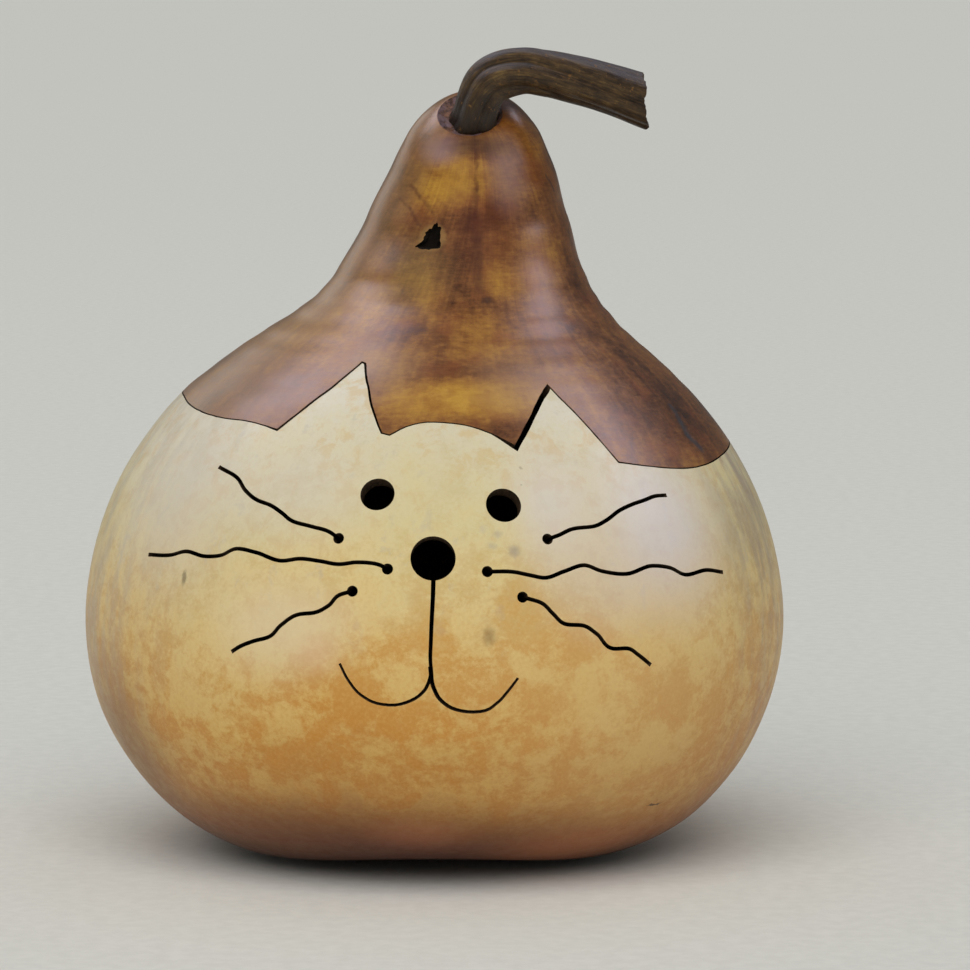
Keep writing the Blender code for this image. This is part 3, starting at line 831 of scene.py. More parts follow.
def cut_edge(side):
    """Points and normals along one edge of the lid cut: side 1 is the lid's edge, and -1 the bowl's."""
    marks = cut_marks()
    spots = [place(azimuth, height) for azimuth, height, _ in marks]
    edge = []
    for i, (point, normal) in enumerate(spots):
        before = point - spots[i - 1][0]
        after = spots[(i + 1) % len(spots)][0] - point
        up_before = normal.cross(before).normalized()
        up_after = normal.cross(after).normalized()
        near = side * marks[i - 1][2] / 2
        far = side * marks[i][2] / 2
        cosine = up_before.dot(up_after)
        if cosine > NEARLY_STRAIGHT:
            shift = (up_before + up_after).normalized() * (near + far) / 2
        else:
            sine_squared = 1 - cosine**2
            shift = up_before * ((near - far * cosine) / sine_squared)
            shift += up_after * ((far - near * cosine) / sine_squared)
        edge.append((point + shift, normal))
    return edge


def above_cut(name, side):
    """Closed cutter that holds all that lies above one edge of the lid cut."""
    edge = cut_edge(side)
    lift = Vector((0, 0, CUTTER_TOP))
    inner = [point - normal * CUT_IN for point, normal in edge]
    outer = [point + normal * CUT_OUT for point, normal in edge]
    top = [Vector((point.x, point.y, 0)).normalized() * CUTTER_RADIUS + lift for point, _ in edge]
    shape = bmesh.new()
    loft(shape, [inner, outer, top], fan_ends=True)
    paint(shape, SAWN)
    return new_object(name, shape)


def saw_line(marks):
    """Smooth run through marks, as points and normals a short step apart."""
    line = smooth_line([Vector(mark) for mark in marks])
    ends = place(*marks[0])[0] - place(*marks[-1])[0]
    pieces = max(SAW_FEWEST, math.ceil(max(ends.length, line[1][-1]) * SAW_DENSER / SAW_STEP))
    return [place(*on_line(line, line[1][-1] * k / pieces)) for k in range(pieces + 1)]


def slot(shape, marks, start, end):
    """A saw cut through the wall: a bar that follows marks, with its width going from start to end."""
    spots = saw_line(marks)
    rings = []
    for i, (point, normal) in enumerate(spots):
        before = spots[max(i - 1, 0)][0]
        after = spots[min(i + 1, len(spots) - 1)][0]
        share = i / (len(spots) - 1)
        side = normal.cross(after - before).normalized() * (start + (end - start) * share) / 2
        out = normal * CUT_OUT
        into = normal * CUT_IN
        rings.append([point + side + out, point - side + out, point - side - into, point + side - into])
    loft(shape, rings)


def hole(shape, azimuth, height, diameter, sides):
    """A drilled hole square to the surface."""
    point, normal = place(azimuth, height)
    middle = point + normal * (CUT_OUT - CUT_IN) / 2
    turn = normal.to_track_quat("Z", "Y").to_matrix().to_4x4()
    bmesh.ops.create_cone(
        shape,
        cap_ends=True,
        segments=sides,
        radius1=diameter / 2,
        radius2=diameter / 2,
        depth=CUT_OUT + CUT_IN,
        matrix=Matrix.Translation(middle) @ turn,
    )


def face_cutters():
    """Everything that is drilled and sawn through the bowl, as cutters that don't touch each other."""
    holes = bmesh.new()
    for azimuth, height, diameter in EYES + [NOSE]:
        hole(holes, azimuth, height, diameter, EYE_SIDES)
    for marks in WHISKERS.values():
        hole(holes, marks[0][0], marks[0][1], DOT, DOT_SIDES)
    first_saw = bmesh.new()
    for marks in WHISKERS.values():
        slot(first_saw, marks, WHISKER_SAW, WHISKER_SAW)
    slot(first_saw, MOUTH_LEFT, MOUTH_SAW, MOUTH_SAW_END)
    second_saw = bmesh.new()
    slot(second_saw, MOUTH_RIGHT, MOUTH_SAW, MOUTH_SAW_END)
    cutters = {"cutter_holes": holes, "cutter_first_saw": first_saw, "cutter_second_saw": second_saw}
    for shape in cutters.values():
        paint(shape, SAWN)
    return [new_object(name, shape) for name, shape in cutters.items()]


def crown_frame():
    """Middle of the crown and the direction it faces."""
    along = Vector((0.0, -math.sin(LEAN), math.cos(LEAN)))
    return surface(LENGTH, 0.0), along


def scar_cutter():
    """The dished, lumpy scar: a ball made flat below and open above."""
    crown, axis = crown_frame()
    turn = axis.to_track_quat("Z", "Y").to_matrix().to_4x4()
    shape = bmesh.new()
    ball = bmesh.ops.create_icosphere(shape, subdivisions=SCAR_ROUNDS, radius=1.0)["verts"]
    for vert in ball:
        out = math.hypot(vert.co.x, vert.co.y)
        lump = noise.noise(vert.co * SCAR_COARSE) + noise.noise(vert.co * SCAR_FINE) / 2
        if vert.co.z < 0:
            vert.co.z = -SCAR_FLOOR * (1 - out**SCAR_DISH) + SCAR_LUMPS * lump * (1 - out**SCAR_CALM_EDGE)
        else:
            vert.co.z *= SCAR_CUTTER
        reach = SCAR_RADIUS + SCAR_LUMPS * lump
        vert.co.x *= reach
        vert.co.y *= reach
    forward = Vector((1, 0, 0)).cross(axis)
    middle = crown + Vector((SCAR_OFFSET, 0, 0)) - axis * SCAR_RIM + forward * SCAR_FORWARD
    bmesh.ops.transform(shape, verts=ball, matrix=Matrix.Translation(middle) @ turn)
    paint(shape, SCAR)
    return new_object("cutter_scar", shape)


def pit_cutter():
    """The small dark pit in the lid's side: a ragged ball sunk into the skin."""
    azimuth, height, *size = PIT
    point, normal = place(azimuth, height)
    side = Vector((0, 0, 1)).cross(normal).normalized()
    turn = Matrix((side, normal.cross(side), normal)).transposed().to_4x4()
    shape = bmesh.new()
    ball = bmesh.ops.create_icosphere(shape, subdivisions=PIT_ROUNDS, radius=1.0)["verts"]
    for vert in ball:
        vert.co *= 1 + PIT_LUMPS * noise.noise(vert.co * PIT_LUMP_RATE + Vector((azimuth, height, 0.0)))
        ragged = PIT_RAGGED * noise.noise(vert.co * PIT_RAGGED_RATE)
        width = PIT_NARROW + PIT_BASE * max(0.0, -vert.co.y - PIT_STEP) + ragged
        vert.co.x = vert.co.x * width + PIT_SLOPE * vert.co.y
        vert.co.y *= 1 + ragged
    put = Matrix.Translation(point) @ turn @ Matrix.Diagonal((*size, 1.0))
    bmesh.ops.transform(shape, verts=ball, matrix=put)
    paint(shape, PITTED)
    return new_object("cutter_pit", shape)


def press_dent(shape):
    """Push the lid's side in along the dent."""
    for azimuth, height in DENT:
        point, normal = place(azimuth, height)
        for vert in shape.verts:
            away = (vert.co - point).length / DENT_REACH
            if away < DENT_END:
                vert.co -= normal * DENT_DEPTH / 2 * math.exp(-away * away)


def boolean(obj, operation, cutter):
    step = obj.modifiers.new(cutter.name, "BOOLEAN")
    step.operation = operation
    step.solver = "EXACT"
    step.object = cutter


def settle(obj):
    """Keep the mesh that the modifiers give, and shade it smooth between its sharp edges."""
    graph = bpy.context.evaluated_depsgraph_get()
    mesh = bpy.data.meshes.new_from_object(obj.evaluated_get(graph))
    obj.modifiers.clear()
    obj.data = mesh
    mesh.shade_smooth()
    mesh.set_sharp_from_angle(angle=SHELL_SHARP)


def stem_line():
    """The stem's middle line with its radius as a fourth number, foot first."""
    crown, axis = crown_frame()
    forward = Vector((0, -math.cos(LEAN), -math.sin(LEAN)))
    foot = crown - axis * (SCAR_FLOOR - GAP) + forward * STEM_FORWARD
    foot.x = STEM[0][0][0]
    points = [Vector((foot.x, foot.y, foot.z, STEM[0][1]))]
    points += [Vector((*point, radius)) for point, radius in STEM[1:]]
    return smooth_line(points)


def first_rib(share):
    """Where the first rib lies, by share of the stem's length: the ribs twist, mostly near the foot."""
    return RIB_TURN + RIB_TWIST * math.sin(share * math.pi / 2) ** RIB_EASE


def rib(angle, along):
    """Radius of the ribbed, fibrous section against that of the plain stem, from the first rib."""
    broad = RIB_DEPTH * (abs(math.cos(STEM_RIBS * angle / 2)) * 2 - 1)
    place_on = Vector((math.cos(angle), math.sin(angle), along * FIBRE_RATE)) * FIBRES / math.pi
    return 1 + broad + FIBRE_DEPTH * 2 * noise.noise(place_on)


def stem_noise(angle, rate, read_at):
    """Noise round the stem's cut end."""
    return noise.noise(Vector((math.cos(angle) * rate, math.sin(angle) * rate, read_at)))


def stem_heading(line, along):
    """The way that the stem runs at a length along it. The foot stands square to the scar."""
    if along == 0:
        return crown_frame()[1]
    ahead = on_line(line, min(along + STEM_PROBE, line[1][-1]))
    behind = on_line(line, max(along - STEM_PROBE, 0.0))
    return (ahead - behind).to_3d().normalized()


def stem_ring(line, along):
    """One ring of the stem, and a vector for each of its points that says where it lies on the stem."""
    length = line[1][-1]
    here = on_line(line, along)
    heading = stem_heading(line, along)
    side = Vector((0, 1, 0)).cross(heading).normalized()
    up = heading.cross(side)
    turn = first_rib(along / length)
    slant = END_SLANT * clamp((along - length + SLANT_LENGTH) / SLANT_LENGTH) ** 2
    ragged = clamp((along - length + RAGGED_LENGTH) / RAGGED_LENGTH) ** 2 * END_RAGGED
    flare = FOOT_FLARE * clamp(1 - along / FOOT_HEIGHT) ** 2
    ring = []
    strands = []
    for i in range(STEM_POINTS):
        angle = 2 * math.pi * i / STEM_POINTS
        strands.append(Vector((here[3] * math.cos(angle), here[3] * math.sin(angle), along)))
        bite = stem_noise(angle, *BITES) - abs(stem_noise(angle, *SPLITS))
        out = side * math.cos(angle + turn) + up * math.sin(angle + turn)
        slid = ragged * bite + slant * math.cos(angle + turn)
        ring.append(here.to_3d() + out * (here[3] * rib(angle, along) + flare) + heading * slid)
    return ring, strands


def stem_solid():
    """The stem with its ribs and fibres, and a vector on each point that says where it lies on it."""
    line = stem_line()
    length = line[1][-1]
    stations = round(length / STEM_STEP)
    made = [stem_ring(line, length * k / stations) for k in range(stations + 1)]
    rim, rim_strands = made[-1]
    end = on_line(line, length).to_3d()
    heading = (end - on_line(line, length - STEM_PROBE).to_3d()).normalized()
    for size, depth in END_RINGS:
        ring = [end + (point - end) * size - heading * depth for point in rim]
        made.append((ring, [Vector((s.x * size, s.y * size, s.z)) for s in rim_strands]))
    shape = bmesh.new()
    loft(shape, [ring for ring, _ in made])
    strand = shape.verts.layers.float_vector.new("strand")
    number = shape.verts.layers.int["number"]
    station = shape.verts.layers.int["station"]
    for vert in shape.verts:
        vert[strand] = made[vert[station]][1][vert[number]]
    caps = [face for face in shape.faces if len(face.verts) > 4]
    for vert in bmesh.ops.poke(shape, faces=caps)["verts"]:
        around = [edge.other_vert(vert)[strand] for edge in vert.link_edges]
        vert[strand] = sum(around, Vector()) / len(around)
    return shape


def colour(red, green, blue):
    """A screen colour of 0 to 255 as the linear one that a shader takes."""
    linear = [c / 255 / 12.92 if c < 10 else ((c / 255 + 0.055) / 1.055) ** 2.4 for c in (red, green, blue)]
    return (*linear, 1.0)


def set_inputs(tree, node, inputs):
    """Set a node's inputs to values, or link them to sockets."""
    for key, value in inputs.items():
        if isinstance(value, bpy.types.NodeSocket):
            tree.links.new(value, node.inputs[key])
        else:
            node.inputs[key].default_value = value


def add(tree, kind, inputs, **settings):
    """A node of this kind, with its settings made and its inputs set or linked."""
    made = tree.nodes.new("ShaderNode" + kind)
    for name, value in settings.items():
        setattr(made, name, value)
    set_inputs(tree, made, inputs)
    return made


def maths(tree, operation, *values):
    return add(tree, "Math", dict(enumerate(values)), operation=operation).outputs[0]


def times(tree, first, second):
    return maths(tree, "MULTIPLY", first, second)


def vectors(tree, operation, first, second=None):
    """Vector arithmetic. A length and a dot product come out as a number."""
    inputs = {0: first}
    if second is not None:
        inputs["Scale" if operation == "SCALE" else 1] = second
    gives = "Value" if operation in ("LENGTH", "DOT_PRODUCT") else "Vector"
    return add(tree, "VectorMath", inputs, operation=operation).outputs[gives]


def split(tree, vector):
    return add(tree, "SeparateXYZ", {0: vector}).outputs


def coordinate(tree, kind):
    return add(tree, "TexCoord", {}).outputs[kind]


def cloud(tree, spot, size, detail, roughness, distortion=0.0):
    """Noise whose lumps are about this many millimetres across."""
    inputs = {"Vector": spot, "Scale": 1 / size, "Detail": detail, "Roughness": roughness}
    return add(tree, "TexNoise", inputs | {"Distortion": distortion}).outputs["Fac"]


def clouds(tree, places, table):
    """Clouds from a table: which place each is read at, and its numbers."""
    return [cloud(tree, places[kind], *numbers) for kind, *numbers in table]


def between(tree, value, low, high, to_low=0.0, to_high=1.0):
    """A value carried smoothly from one range to another."""
    inputs = {"Value": value, "From Min": low, "From Max": high, "To Min": to_low, "To Max": to_high}
    return add(tree, "MapRange", inputs, interpolation_type="SMOOTHSTEP").outputs["Result"]


def mixed(tree, share, low, high):
    """Two colours mixed by a share. Each is a socket or a screen colour."""
    low, high = [colour(*side) if isinstance(side, tuple) else side for side in (low, high)]
    return add(tree, "Mix", {0: share, 6: low, 7: high}, data_type="RGBA").outputs[2]


def ramp(tree, value, stops, span=1.0):
    """A colour ramp: each stop is a value out of the span, and a screen colour."""
    made = add(tree, "ValToRGB", {"Fac": value})
    elements = made.color_ramp.elements
    while len(elements) < len(stops):
        elements.new(0.5)
    for element, (at, shade) in zip(elements, stops):
        element.position = at / span
        element.color = colour(*shade)
    return made.outputs["Color"]


def blended(tree, values, weights):
    """Sum of values, each taken with its weight."""
    total = None
    for value, weight in zip(values, weights):
        part = times(tree, value, weight)
        total = part if total is None else maths(tree, "ADD", total, part)
    return total


def new_group(name, inputs, outputs):
    """An empty shader node group, with the sockets on its inner sides."""
    tree = bpy.data.node_groups.new(name, "ShaderNodeTree")
    for side, sockets in (("INPUT", inputs), ("OUTPUT", outputs)):
        for label, kind in sockets.items():
            tree.interface.new_socket(label, in_out=side, socket_type="NodeSocket" + kind)
    return tree, tree.nodes.new("NodeGroupInput").outputs, tree.nodes.new("NodeGroupOutput").inputs


def placed(tree, group, inputs):
    """A node group put into a tree."""
    made = tree.nodes.new("ShaderNodeGroup")
    made.node_tree = group
    set_inputs(tree, made, inputs)
    return made.outputs


def build_where():
    """Where a point is: its place in millimetres, and the same with the meridians pulled straight."""
    outputs = {"Place": "Vector", "Grain": "Vector", "Height": "Float", "Side": "Float"}
    tree, _, target = new_group("where", {}, outputs)
    spot = vectors(tree, "SCALE", coordinate(tree, "Object"), 1 / METRE)
    x, y, height = split(tree, spot)
    x = maths(tree, "SUBTRACT", x, between(tree, height, *NECK_SHIFT))
    y = maths(tree, "SUBTRACT", y, between(tree, height, *CROWN_SHIFT))
    flat = add(tree, "CombineXYZ", {0: x, 1: y}).outputs[0]
    east, north, _ = split(tree, vectors(tree, "NORMALIZE", flat))
    stretches = ((east, GRAIN_RADIUS), (north, GRAIN_RADIUS), (height, GRAIN_STRETCH))
    drawn_out = [times(tree, value, stretch) for value, stretch in stretches]
    grain = add(tree, "CombineXYZ", dict(enumerate(drawn_out))).outputs[0]
    for label, socket in zip(outputs, (spot, grain, height, east)):
        tree.links.new(socket, target[label])
    return tree


def soft_edge(tree, size, softness):
    """One within a size of 1 and nothing beyond it, with a soft edge between."""
    low = maths(tree, "SUBTRACT", 1.0, softness)
    high = maths(tree, "ADD", 1.0, softness)
    return between(tree, size, low, high, 1.0, 0.0)


def build_patch():
    """A soft-edged oval patch round a centre."""
    inputs = {"Place": "Vector", "Centre": "Vector", "Reach": "Vector", "Softness": "Float"}
    tree, source, target = new_group("patch", inputs, {"Mask": "Float"})
    away = vectors(tree, "SUBTRACT", source["Place"], source["Centre"])
    size = vectors(tree, "LENGTH", vectors(tree, "DIVIDE", away, source["Reach"]))
    tree.links.new(soft_edge(tree, size, source["Softness"]), target["Mask"])
    return tree


def build_line():
    """A soft-edged line from one point along a run."""
    inputs = {"Place": "Vector", "Start": "Vector", "Run": "Vector", "Width": "Float", "Softness": "Float"}
    tree, source, target = new_group("line", inputs, {"Mask": "Float"})
    run = source["Run"]
    away = vectors(tree, "SUBTRACT", source["Place"], source["Start"])
    along = vectors(tree, "DOT_PRODUCT", away, run)
    whole = vectors(tree, "DOT_PRODUCT", run, run)
    share = maths(tree, "MINIMUM", maths(tree, "MAXIMUM", maths(tree, "DIVIDE", along, whole), 0.0), 1.0)
    gap = vectors(tree, "SUBTRACT", away, vectors(tree, "SCALE", run, share))
    size = maths(tree, "DIVIDE", vectors(tree, "LENGTH", gap), source["Width"])
    tree.links.new(soft_edge(tree, size, source["Softness"]), target["Mask"])
    return tree


def patch_mask(tree, patch, spot, azimuth, height, across, up, softness):
    """Mask of a patch, by its reach across and up."""
    centre, _ = place(azimuth, height)
    inputs = {"Place": spot, "Centre": tuple(centre), "Reach": (across, across, up), "Softness": softness}
    return placed(tree, patch, inputs)["Mask"]


def shifted(tree, patch, value, spot, marks):
    """Raise or lower a value in patches: azimuth, height, reach across and up, and by how much."""
    for *where, change in marks:
        mask = patch_mask(tree, patch, spot, *where, WASH_SOFTNESS)
        value = maths(tree, "ADD", value, times(tree, mask, change))
    return value


def stained(tree, patch, base, spot, marks):
    """Lay patches over a colour: azimuth, height, reach across and up, softness, strength, colour."""
    for *where, strength, shade in marks:
        base = mixed(tree, times(tree, patch_mask(tree, patch, spot, *where), strength), base, shade)
    return base


def lined(tree, line, base, spot, marks):
    """Draw lines over a colour: azimuth and height of both ends, width, softness, strength, colour."""
    for azimuth, height, last_azimuth, last_height, width, softness, strength, shade in marks:
        start, _ = place(azimuth, height)
        run = place(last_azimuth, last_height)[0] - start
        inputs = {"Start": tuple(start), "Run": tuple(run), "Width": width, "Softness": softness}
        mask = placed(tree, line, {"Place": spot} | inputs)["Mask"]
        base = mixed(tree, times(tree, mask, strength), base, shade)
    return base


def smeared(tree, spot, size, reach):
    """A place shifted a little this way and that, which makes a patch's edge ragged."""
    inputs = {"Vector": spot, "Scale": 1 / size, "Detail": SMEAR_DETAIL}
    turbulence = add(tree, "TexNoise", inputs).outputs["Color"]
    centred = vectors(tree, "SUBTRACT", turbulence, (NOISE_MIDDLE,) * 3)
    return vectors(tree, "ADD", spot, vectors(tree, "SCALE", centred, reach))


def new_material(name):
    """A material with a Principled shader, and its tree."""
    material = bpy.data.materials.new(name)
    material.use_nodes = True
    tree = material.node_tree
    return material, tree, tree.nodes["Principled BSDF"]


def finish_shader(tree, shader, shade, roughness, height, constants):
    """Link colour, roughness and a height in millimetres to the shader, and set its constants."""
    bump = add(tree, "Bump", {"Height": times(tree, height, METRE), "Distance": 1.0, "Strength": 1.0})
    linked = {"Base Color": shade, "Roughness": roughness, "Normal": bump.outputs["Normal"]}
    set_inputs(tree, shader, linked | constants)


def natural_skin(where, patch):
    """The bowl's skin: cream above, mottled orange-tan below and brown at the base; its marks add painted
    sheen and shade.
    """
    material, tree, shader = new_material("natural_shell")
    spot = placed(tree, where, {})
    height = spot["Height"]
    brushed = vectors(tree, "MULTIPLY", spot["Place"], BOWL_BRUSH)
    places = {"place": spot["Place"], "grain": spot["Grain"], "brushed": brushed}
    made = clouds(tree, places, BOWL_CLOUDS)
    broad, mottle, fine, grit, streaks, broad_streaks, flecks, smudges, swell = made
    off_middle = [maths(tree, "SUBTRACT", value, NOISE_MIDDLE) for value in (broad, mottle)]
    drift = times(tree, blended(tree, off_middle, DRIFT_REACH), between(tree, height, *DRIFT_GROWS))
    ramp_at = maths(tree, "DIVIDE", maths(tree, "ADD", height, drift), RAMP_SPAN)
    light = ramp(tree, ramp_at, BOWL_LIGHT, RAMP_SPAN)
    dark = ramp(tree, ramp_at, BOWL_DARK, RAMP_SPAN)
    tone = blended(tree, (mottle, fine, broad, between(tree, height, *LOWER_HALF)), BOWL_SHARES)
    tone = shifted(tree, patch, tone, spot["Place"], BOWL_WASHES)
    shade = mixed(tree, between(tree, tone, *BOWL_TURN), light, dark)
    shade = mixed(tree, between(tree, grit, *GRIT_DARK), shade, dark)
    shade = mixed(tree, between(tree, grit, *GRIT_LIGHT), shade, light)
    streaky = between(tree, blended(tree, (streaks, broad_streaks, mottle), STREAK_SHARES), *STREAK_TURN)
    streaky = times(tree, streaky, between(tree, height, *STREAKS_GROW))
    upper = between(tree, height, *UPPER_HALF)
    shade = mixed(tree, times(tree, upper, between(tree, flecks, *FLECKED)), shade, FLECK_COLOUR)
    smudged = between(tree, blended(tree, (smudges, flecks), SMUDGE_SHARES), *SMUDGED)
    shade = mixed(tree, times(tree, upper, smudged), shade, SMUDGE_COLOUR)
    # The right flank's tint is partly painted reflection and painted shade
    for low, high, tint, strength in FLANK_STREAKS_AND_PAINTED_LIGHT:
        flank = between(tree, spot["Side"], low, high)
        shade = mixed(tree, times(tree, times(tree, flank, streaky), strength), shade, tint)
    # The marks include painted sheen on the upper flanks and painted shade under the front of the base
    shade = stained(tree, patch, shade, smeared(tree, spot["Place"], *BOWL_SMEAR), BOWL_MARKS_SHEEN_AND_SHADE)
    relief = blended(tree, (swell, fine), BOWL_RELIEF)
    finish_shader(tree, shader, shade, between(tree, fine, *BOWL_ROUGHNESS), relief, BOWL_GLOSS)
    return material


def stained_skin(where, patch, line):
    """The lid's skin: stained brown over the grain, with amber where the stain is thin, and painted sheen
    on the shoulder and crown.
    """
    material, tree, shader = new_material("stained_shell")
    spot = placed(tree, where, {})
    brushed = vectors(tree, "MULTIPLY", spot["Place"], LID_BRUSH)
    places = {"place": spot["Place"], "grain": spot["Grain"], "brushed": brushed}
    blot, grain, broad_grain, strokes, crackle, red, swell = clouds(tree, places, LID_CLOUDS)
    tone = blended(tree, (blot, broad_grain, grain, strokes, crackle), LID_SHARES)
    # Some washes stand partly for a painted sheen on the shoulder
    tone = shifted(tree, patch, tone, spot["Place"], LID_WASHES_AND_SHEEN)
    shade = ramp(tree, tone, LID_TONES)
    shade = mixed(tree, between(tree, red, *REDDENED), shade, RED_COLOUR)
    # The tints include painted sheen on the shoulder and painted highlights on the crown
    shade = stained(tree, patch, shade, spot["Place"], LID_TINTS_AND_SHEEN)
    pale_flank = between(tree, spot["Side"], *PALE_FLANK)
    shade = mixed(tree, times(tree, pale_flank, PALE_STRENGTH), shade, PALE_COLOUR)
    ragged = smeared(tree, spot["Place"], *LID_SMEAR)
    shade = lined(tree, line, shade, ragged, LID_LINES)
    shade = stained(tree, patch, shade, ragged, LID_MARKS)
    roughness = between(tree, blended(tree, (blot, strokes), (0.5, 0.5)), *LID_ROUGHNESS)
    relief = blended(tree, (swell, strokes, grain), LID_RELIEF)
    finish_shader(tree, shader, shade, roughness, relief, LID_GLOSS)
    return material


def rough_skin(where, name):
    """A plain rough material: lumps from dark to light, with a second cloud over them in some."""
    kind = ROUGH_SKINS[name]
    material, tree, shader = new_material(name)
    spot = placed(tree, where, {})
    lumps = cloud(tree, spot["Place"], *kind["lumps"])
    share = between(tree, lumps, *kind["turn"]) if "turn" in kind else lumps
    shade = mixed(tree, share, *kind["colours"])
    # In the scar, this second cloud paints lilac reflections on its lumps
    if "blot" in kind:
        blot = cloud(tree, spot["Place"], *kind["blot"])
        shade = mixed(tree, between(tree, blot, *kind["blotted"]), shade, kind["blot_colour"])
    relief = lumps
    if "fibres" in kind:
        fibres = cloud(tree, spot["Grain"], *kind["fibres"])
        shade = mixed(tree, times(tree, fibres, kind["fibre_strength"]), shade, kind["fibre_colour"])
        relief = maths(tree, "ADD", lumps, fibres)
    roughness = between(tree, lumps, *ROUGH_SPAN, *kind["roughness"])
    constants = {"Specular IOR Level": kind["specular"]}
    finish_shader(tree, shader, shade, roughness, times(tree, relief, kind["relief"]), constants)
    return material


def stem_skin():
    """The dry stem: brown fibres along it, greyed on top by a painted sky reflection, and dark at the foot.
    """
    material, tree, shader = new_material("dry_stem")
    strand = add(tree, "Attribute", {}, attribute_name="strand").outputs["Vector"]
    places = {"strand": strand, "stretched": vectors(tree, "MULTIPLY", strand, STEM_STRETCH)}
    fibres, cords, blot, flecks = clouds(tree, places, STEM_CLOUDS)
    shade = ramp(tree, blended(tree, (fibres, cords, blot), STEM_SHARES), STEM_TONES)
    # Painted reflection of the sky: facets that face up are greyed
    way = split(tree, coordinate(tree, "Normal"))
    shade = mixed(tree, between(tree, way[2], *STEM_SHEEN_SPAN), shade, STEM_SHEEN_COLOUR)
    along = split(tree, strand)[2]
    shade = mixed(tree, between(tree, along, *STEM_FOOT), shade, STEM_FOOT_COLOUR)
    ochre = times(tree, between(tree, flecks, *OCHRE_FLECKS), OCHRE_STRENGTH)
    shade = mixed(tree, ochre, shade, OCHRE_COLOUR)
    relief = blended(tree, (fibres, cords), STEM_RELIEF)
    finish_shader(tree, shader, shade, between(tree, fibres, *STEM_ROUGHNESS), relief, STEM_GLOSS)
    return material


def cavity_cutter():
    shape = gourd_solid(INNER_COLUMNS, INNER_ROWS, rows_evenly, inside=True)
    return new_object("cutter_cavity", shape)


def build_bowl(materials):
    bowl = new_object("gourd_bowl_shell", gourd_solid(COLUMNS, ROWS, rows_for_bowl), materials)
    cutters = [above_cut("cutter_above_bowl", -1)]
    cutters += [cavity_cutter()]
    cutters += face_cutters()
    for cutter in cutters:
        boolean(bowl, "DIFFERENCE", cutter)
    settle(bowl)
    for cutter in cutters:
        bpy.data.objects.remove(cutter)
    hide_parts("gourd_bowl")
    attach(bowl, "root")


def build_lid(materials):
    shape = gourd_solid(COLUMNS, ROWS, rows_for_lid)
    press_dent(shape)
    lid = new_object("gourd_lid_shell", shape, materials)
    cavity = cavity_cutter()
    above = above_cut("cutter_above_lid", 1)
    boolean(lid, "INTERSECT", above)
    boolean(lid, "DIFFERENCE", cavity)
    cutters = [scar_cutter(), pit_cutter()]
    for cutter in cutters:
        boolean(lid, "DIFFERENCE", cutter)
    settle(lid)
    for cutter in cutters + [cavity, above]:
        bpy.data.objects.remove(cutter)
    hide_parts("gourd_lid")
    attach(lid, "root")


def build_stem(material):
    stem = new_object("stem_ribbed", stem_solid(), [material])
    stem.data.shade_smooth()
    stem.data.set_sharp_from_angle(angle=STEM_SHARP)
    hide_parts("stem")
    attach(stem, "root")


def build_floor(material):
    """A pale floor that reaches the horizon."""
    shape = bmesh.new()
    bmesh.ops.create_circle(shape, cap_ends=True, segments=FLOOR_SIDES, radius=FLOOR_RADIUS)
    floor = new_object("floor", shape, [material])


def direction(azimuth, elevation):
    turn = math.radians(azimuth)
    rise = math.radians(elevation)
    return Vector((math.cos(turn) * math.cos(rise), math.sin(turn) * math.cos(rise), math.sin(rise)))


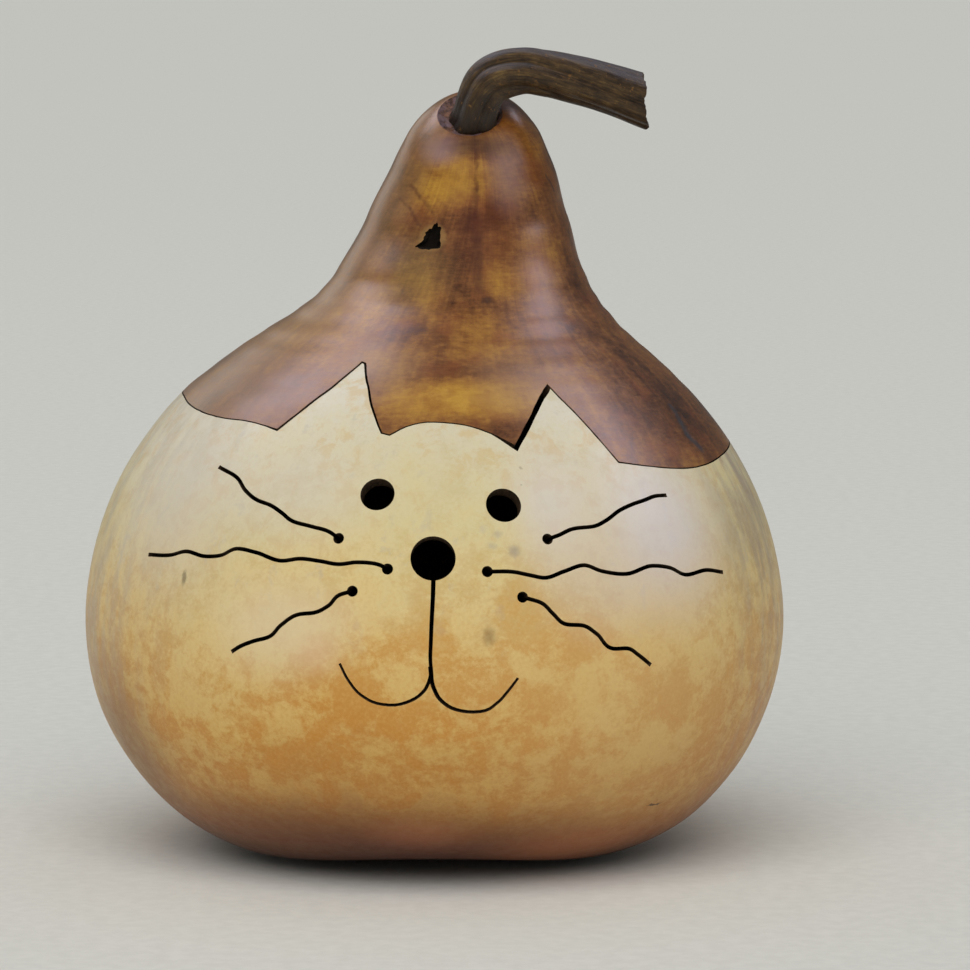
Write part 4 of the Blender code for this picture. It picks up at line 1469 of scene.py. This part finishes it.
def light_panel(name, start, end, width, power, shade):
    """A panel for the gloss alone, from one direction to another, each an azimuth and elevation."""
    first = direction(*start) * PANEL_DISTANCE
    last = direction(*end) * PANEL_DISTANCE
    middle = (first + last) / 2
    along = (last - first).normalized()
    back = (middle - along * middle.dot(along)).normalized()
    data = bpy.data.lights.new(name, "AREA")
    data.shape = "RECTANGLE"
    data.size = width
    data.size_y = (last - first).length
    data.energy = power
    data.color = shade
    light = bpy.data.objects.new(name, data)
    turn = Matrix((along.cross(back), along, back)).transposed().to_4x4()
    light.matrix_world = Matrix.Translation(middle + Vector((0, 0, PANEL_HEIGHT))) @ turn
    light.visible_diffuse = False
    bpy.context.scene.collection.objects.link(light)


def front_light(azimuth, elevation, strength, width):
    """A broad light from in front of the gourd, kept out of its gloss."""
    data = bpy.data.lights.new("front_light", "SUN")
    data.energy = strength
    data.angle = width
    light = bpy.data.objects.new("front_light", data)
    light.rotation_euler = direction(azimuth, elevation).to_track_quat("Z", "Y").to_euler()
    light.visible_glossy = False
    bpy.context.scene.collection.objects.link(light)


def build_lights():
    for panel in PANELS:
        light_panel(*panel)
    front_light(*FRONT_LIGHT)
    world = bpy.data.worlds.new("pale_room")
    world.use_nodes = True
    tree = world.node_tree
    background = tree.nodes["Background"]
    background.inputs["Color"].default_value = colour(*ROOM_COLOUR)
    path = add(tree, "LightPath", {}).outputs["Is Glossy Ray"]
    dimming = times(tree, path, WORLD_GLOSS - WORLD_STRENGTH)
    strength = maths(tree, "ADD", dimming, WORLD_STRENGTH)
    tree.links.new(strength, background.inputs["Strength"])
    bpy.context.scene.world = world


def build_camera():
    """The photograph's view: half its width fits the angle at this distance."""
    data = bpy.data.cameras.new("camera")
    data.sensor_width = SENSOR
    data.lens = SENSOR * DISTANCE / (PIXELS * PIXEL_SIZE)
    data.clip_end = CLIP_END
    camera = bpy.data.objects.new("camera", data)
    back = Vector((0.0, -math.cos(ELEVATION), math.sin(ELEVATION)))
    camera.location = (Vector(AIM) + back * DISTANCE) * METRE
    camera.rotation_euler = back.to_track_quat("Z", "Y").to_euler()
    bpy.context.scene.collection.objects.link(camera)
    bpy.context.scene.camera = camera


def main():
    bpy.context.scene.view_settings.view_transform = "Standard"
    build_camera()
    where = build_where()
    patch = build_patch()
    rough = {name: rough_skin(where, name) for name in ROUGH_SKINS}
    laid_bare = [rough["sawn_shell"], rough["shell_inside"]]
    build_bowl([natural_skin(where, patch), *laid_bare])
    build_lid([stained_skin(where, patch, build_line()), *laid_bare, rough["stem_scar"], rough["dark_pit"]])
    build_stem(stem_skin())
    build_floor(rough["pale_floor"])
    build_lights()


main()
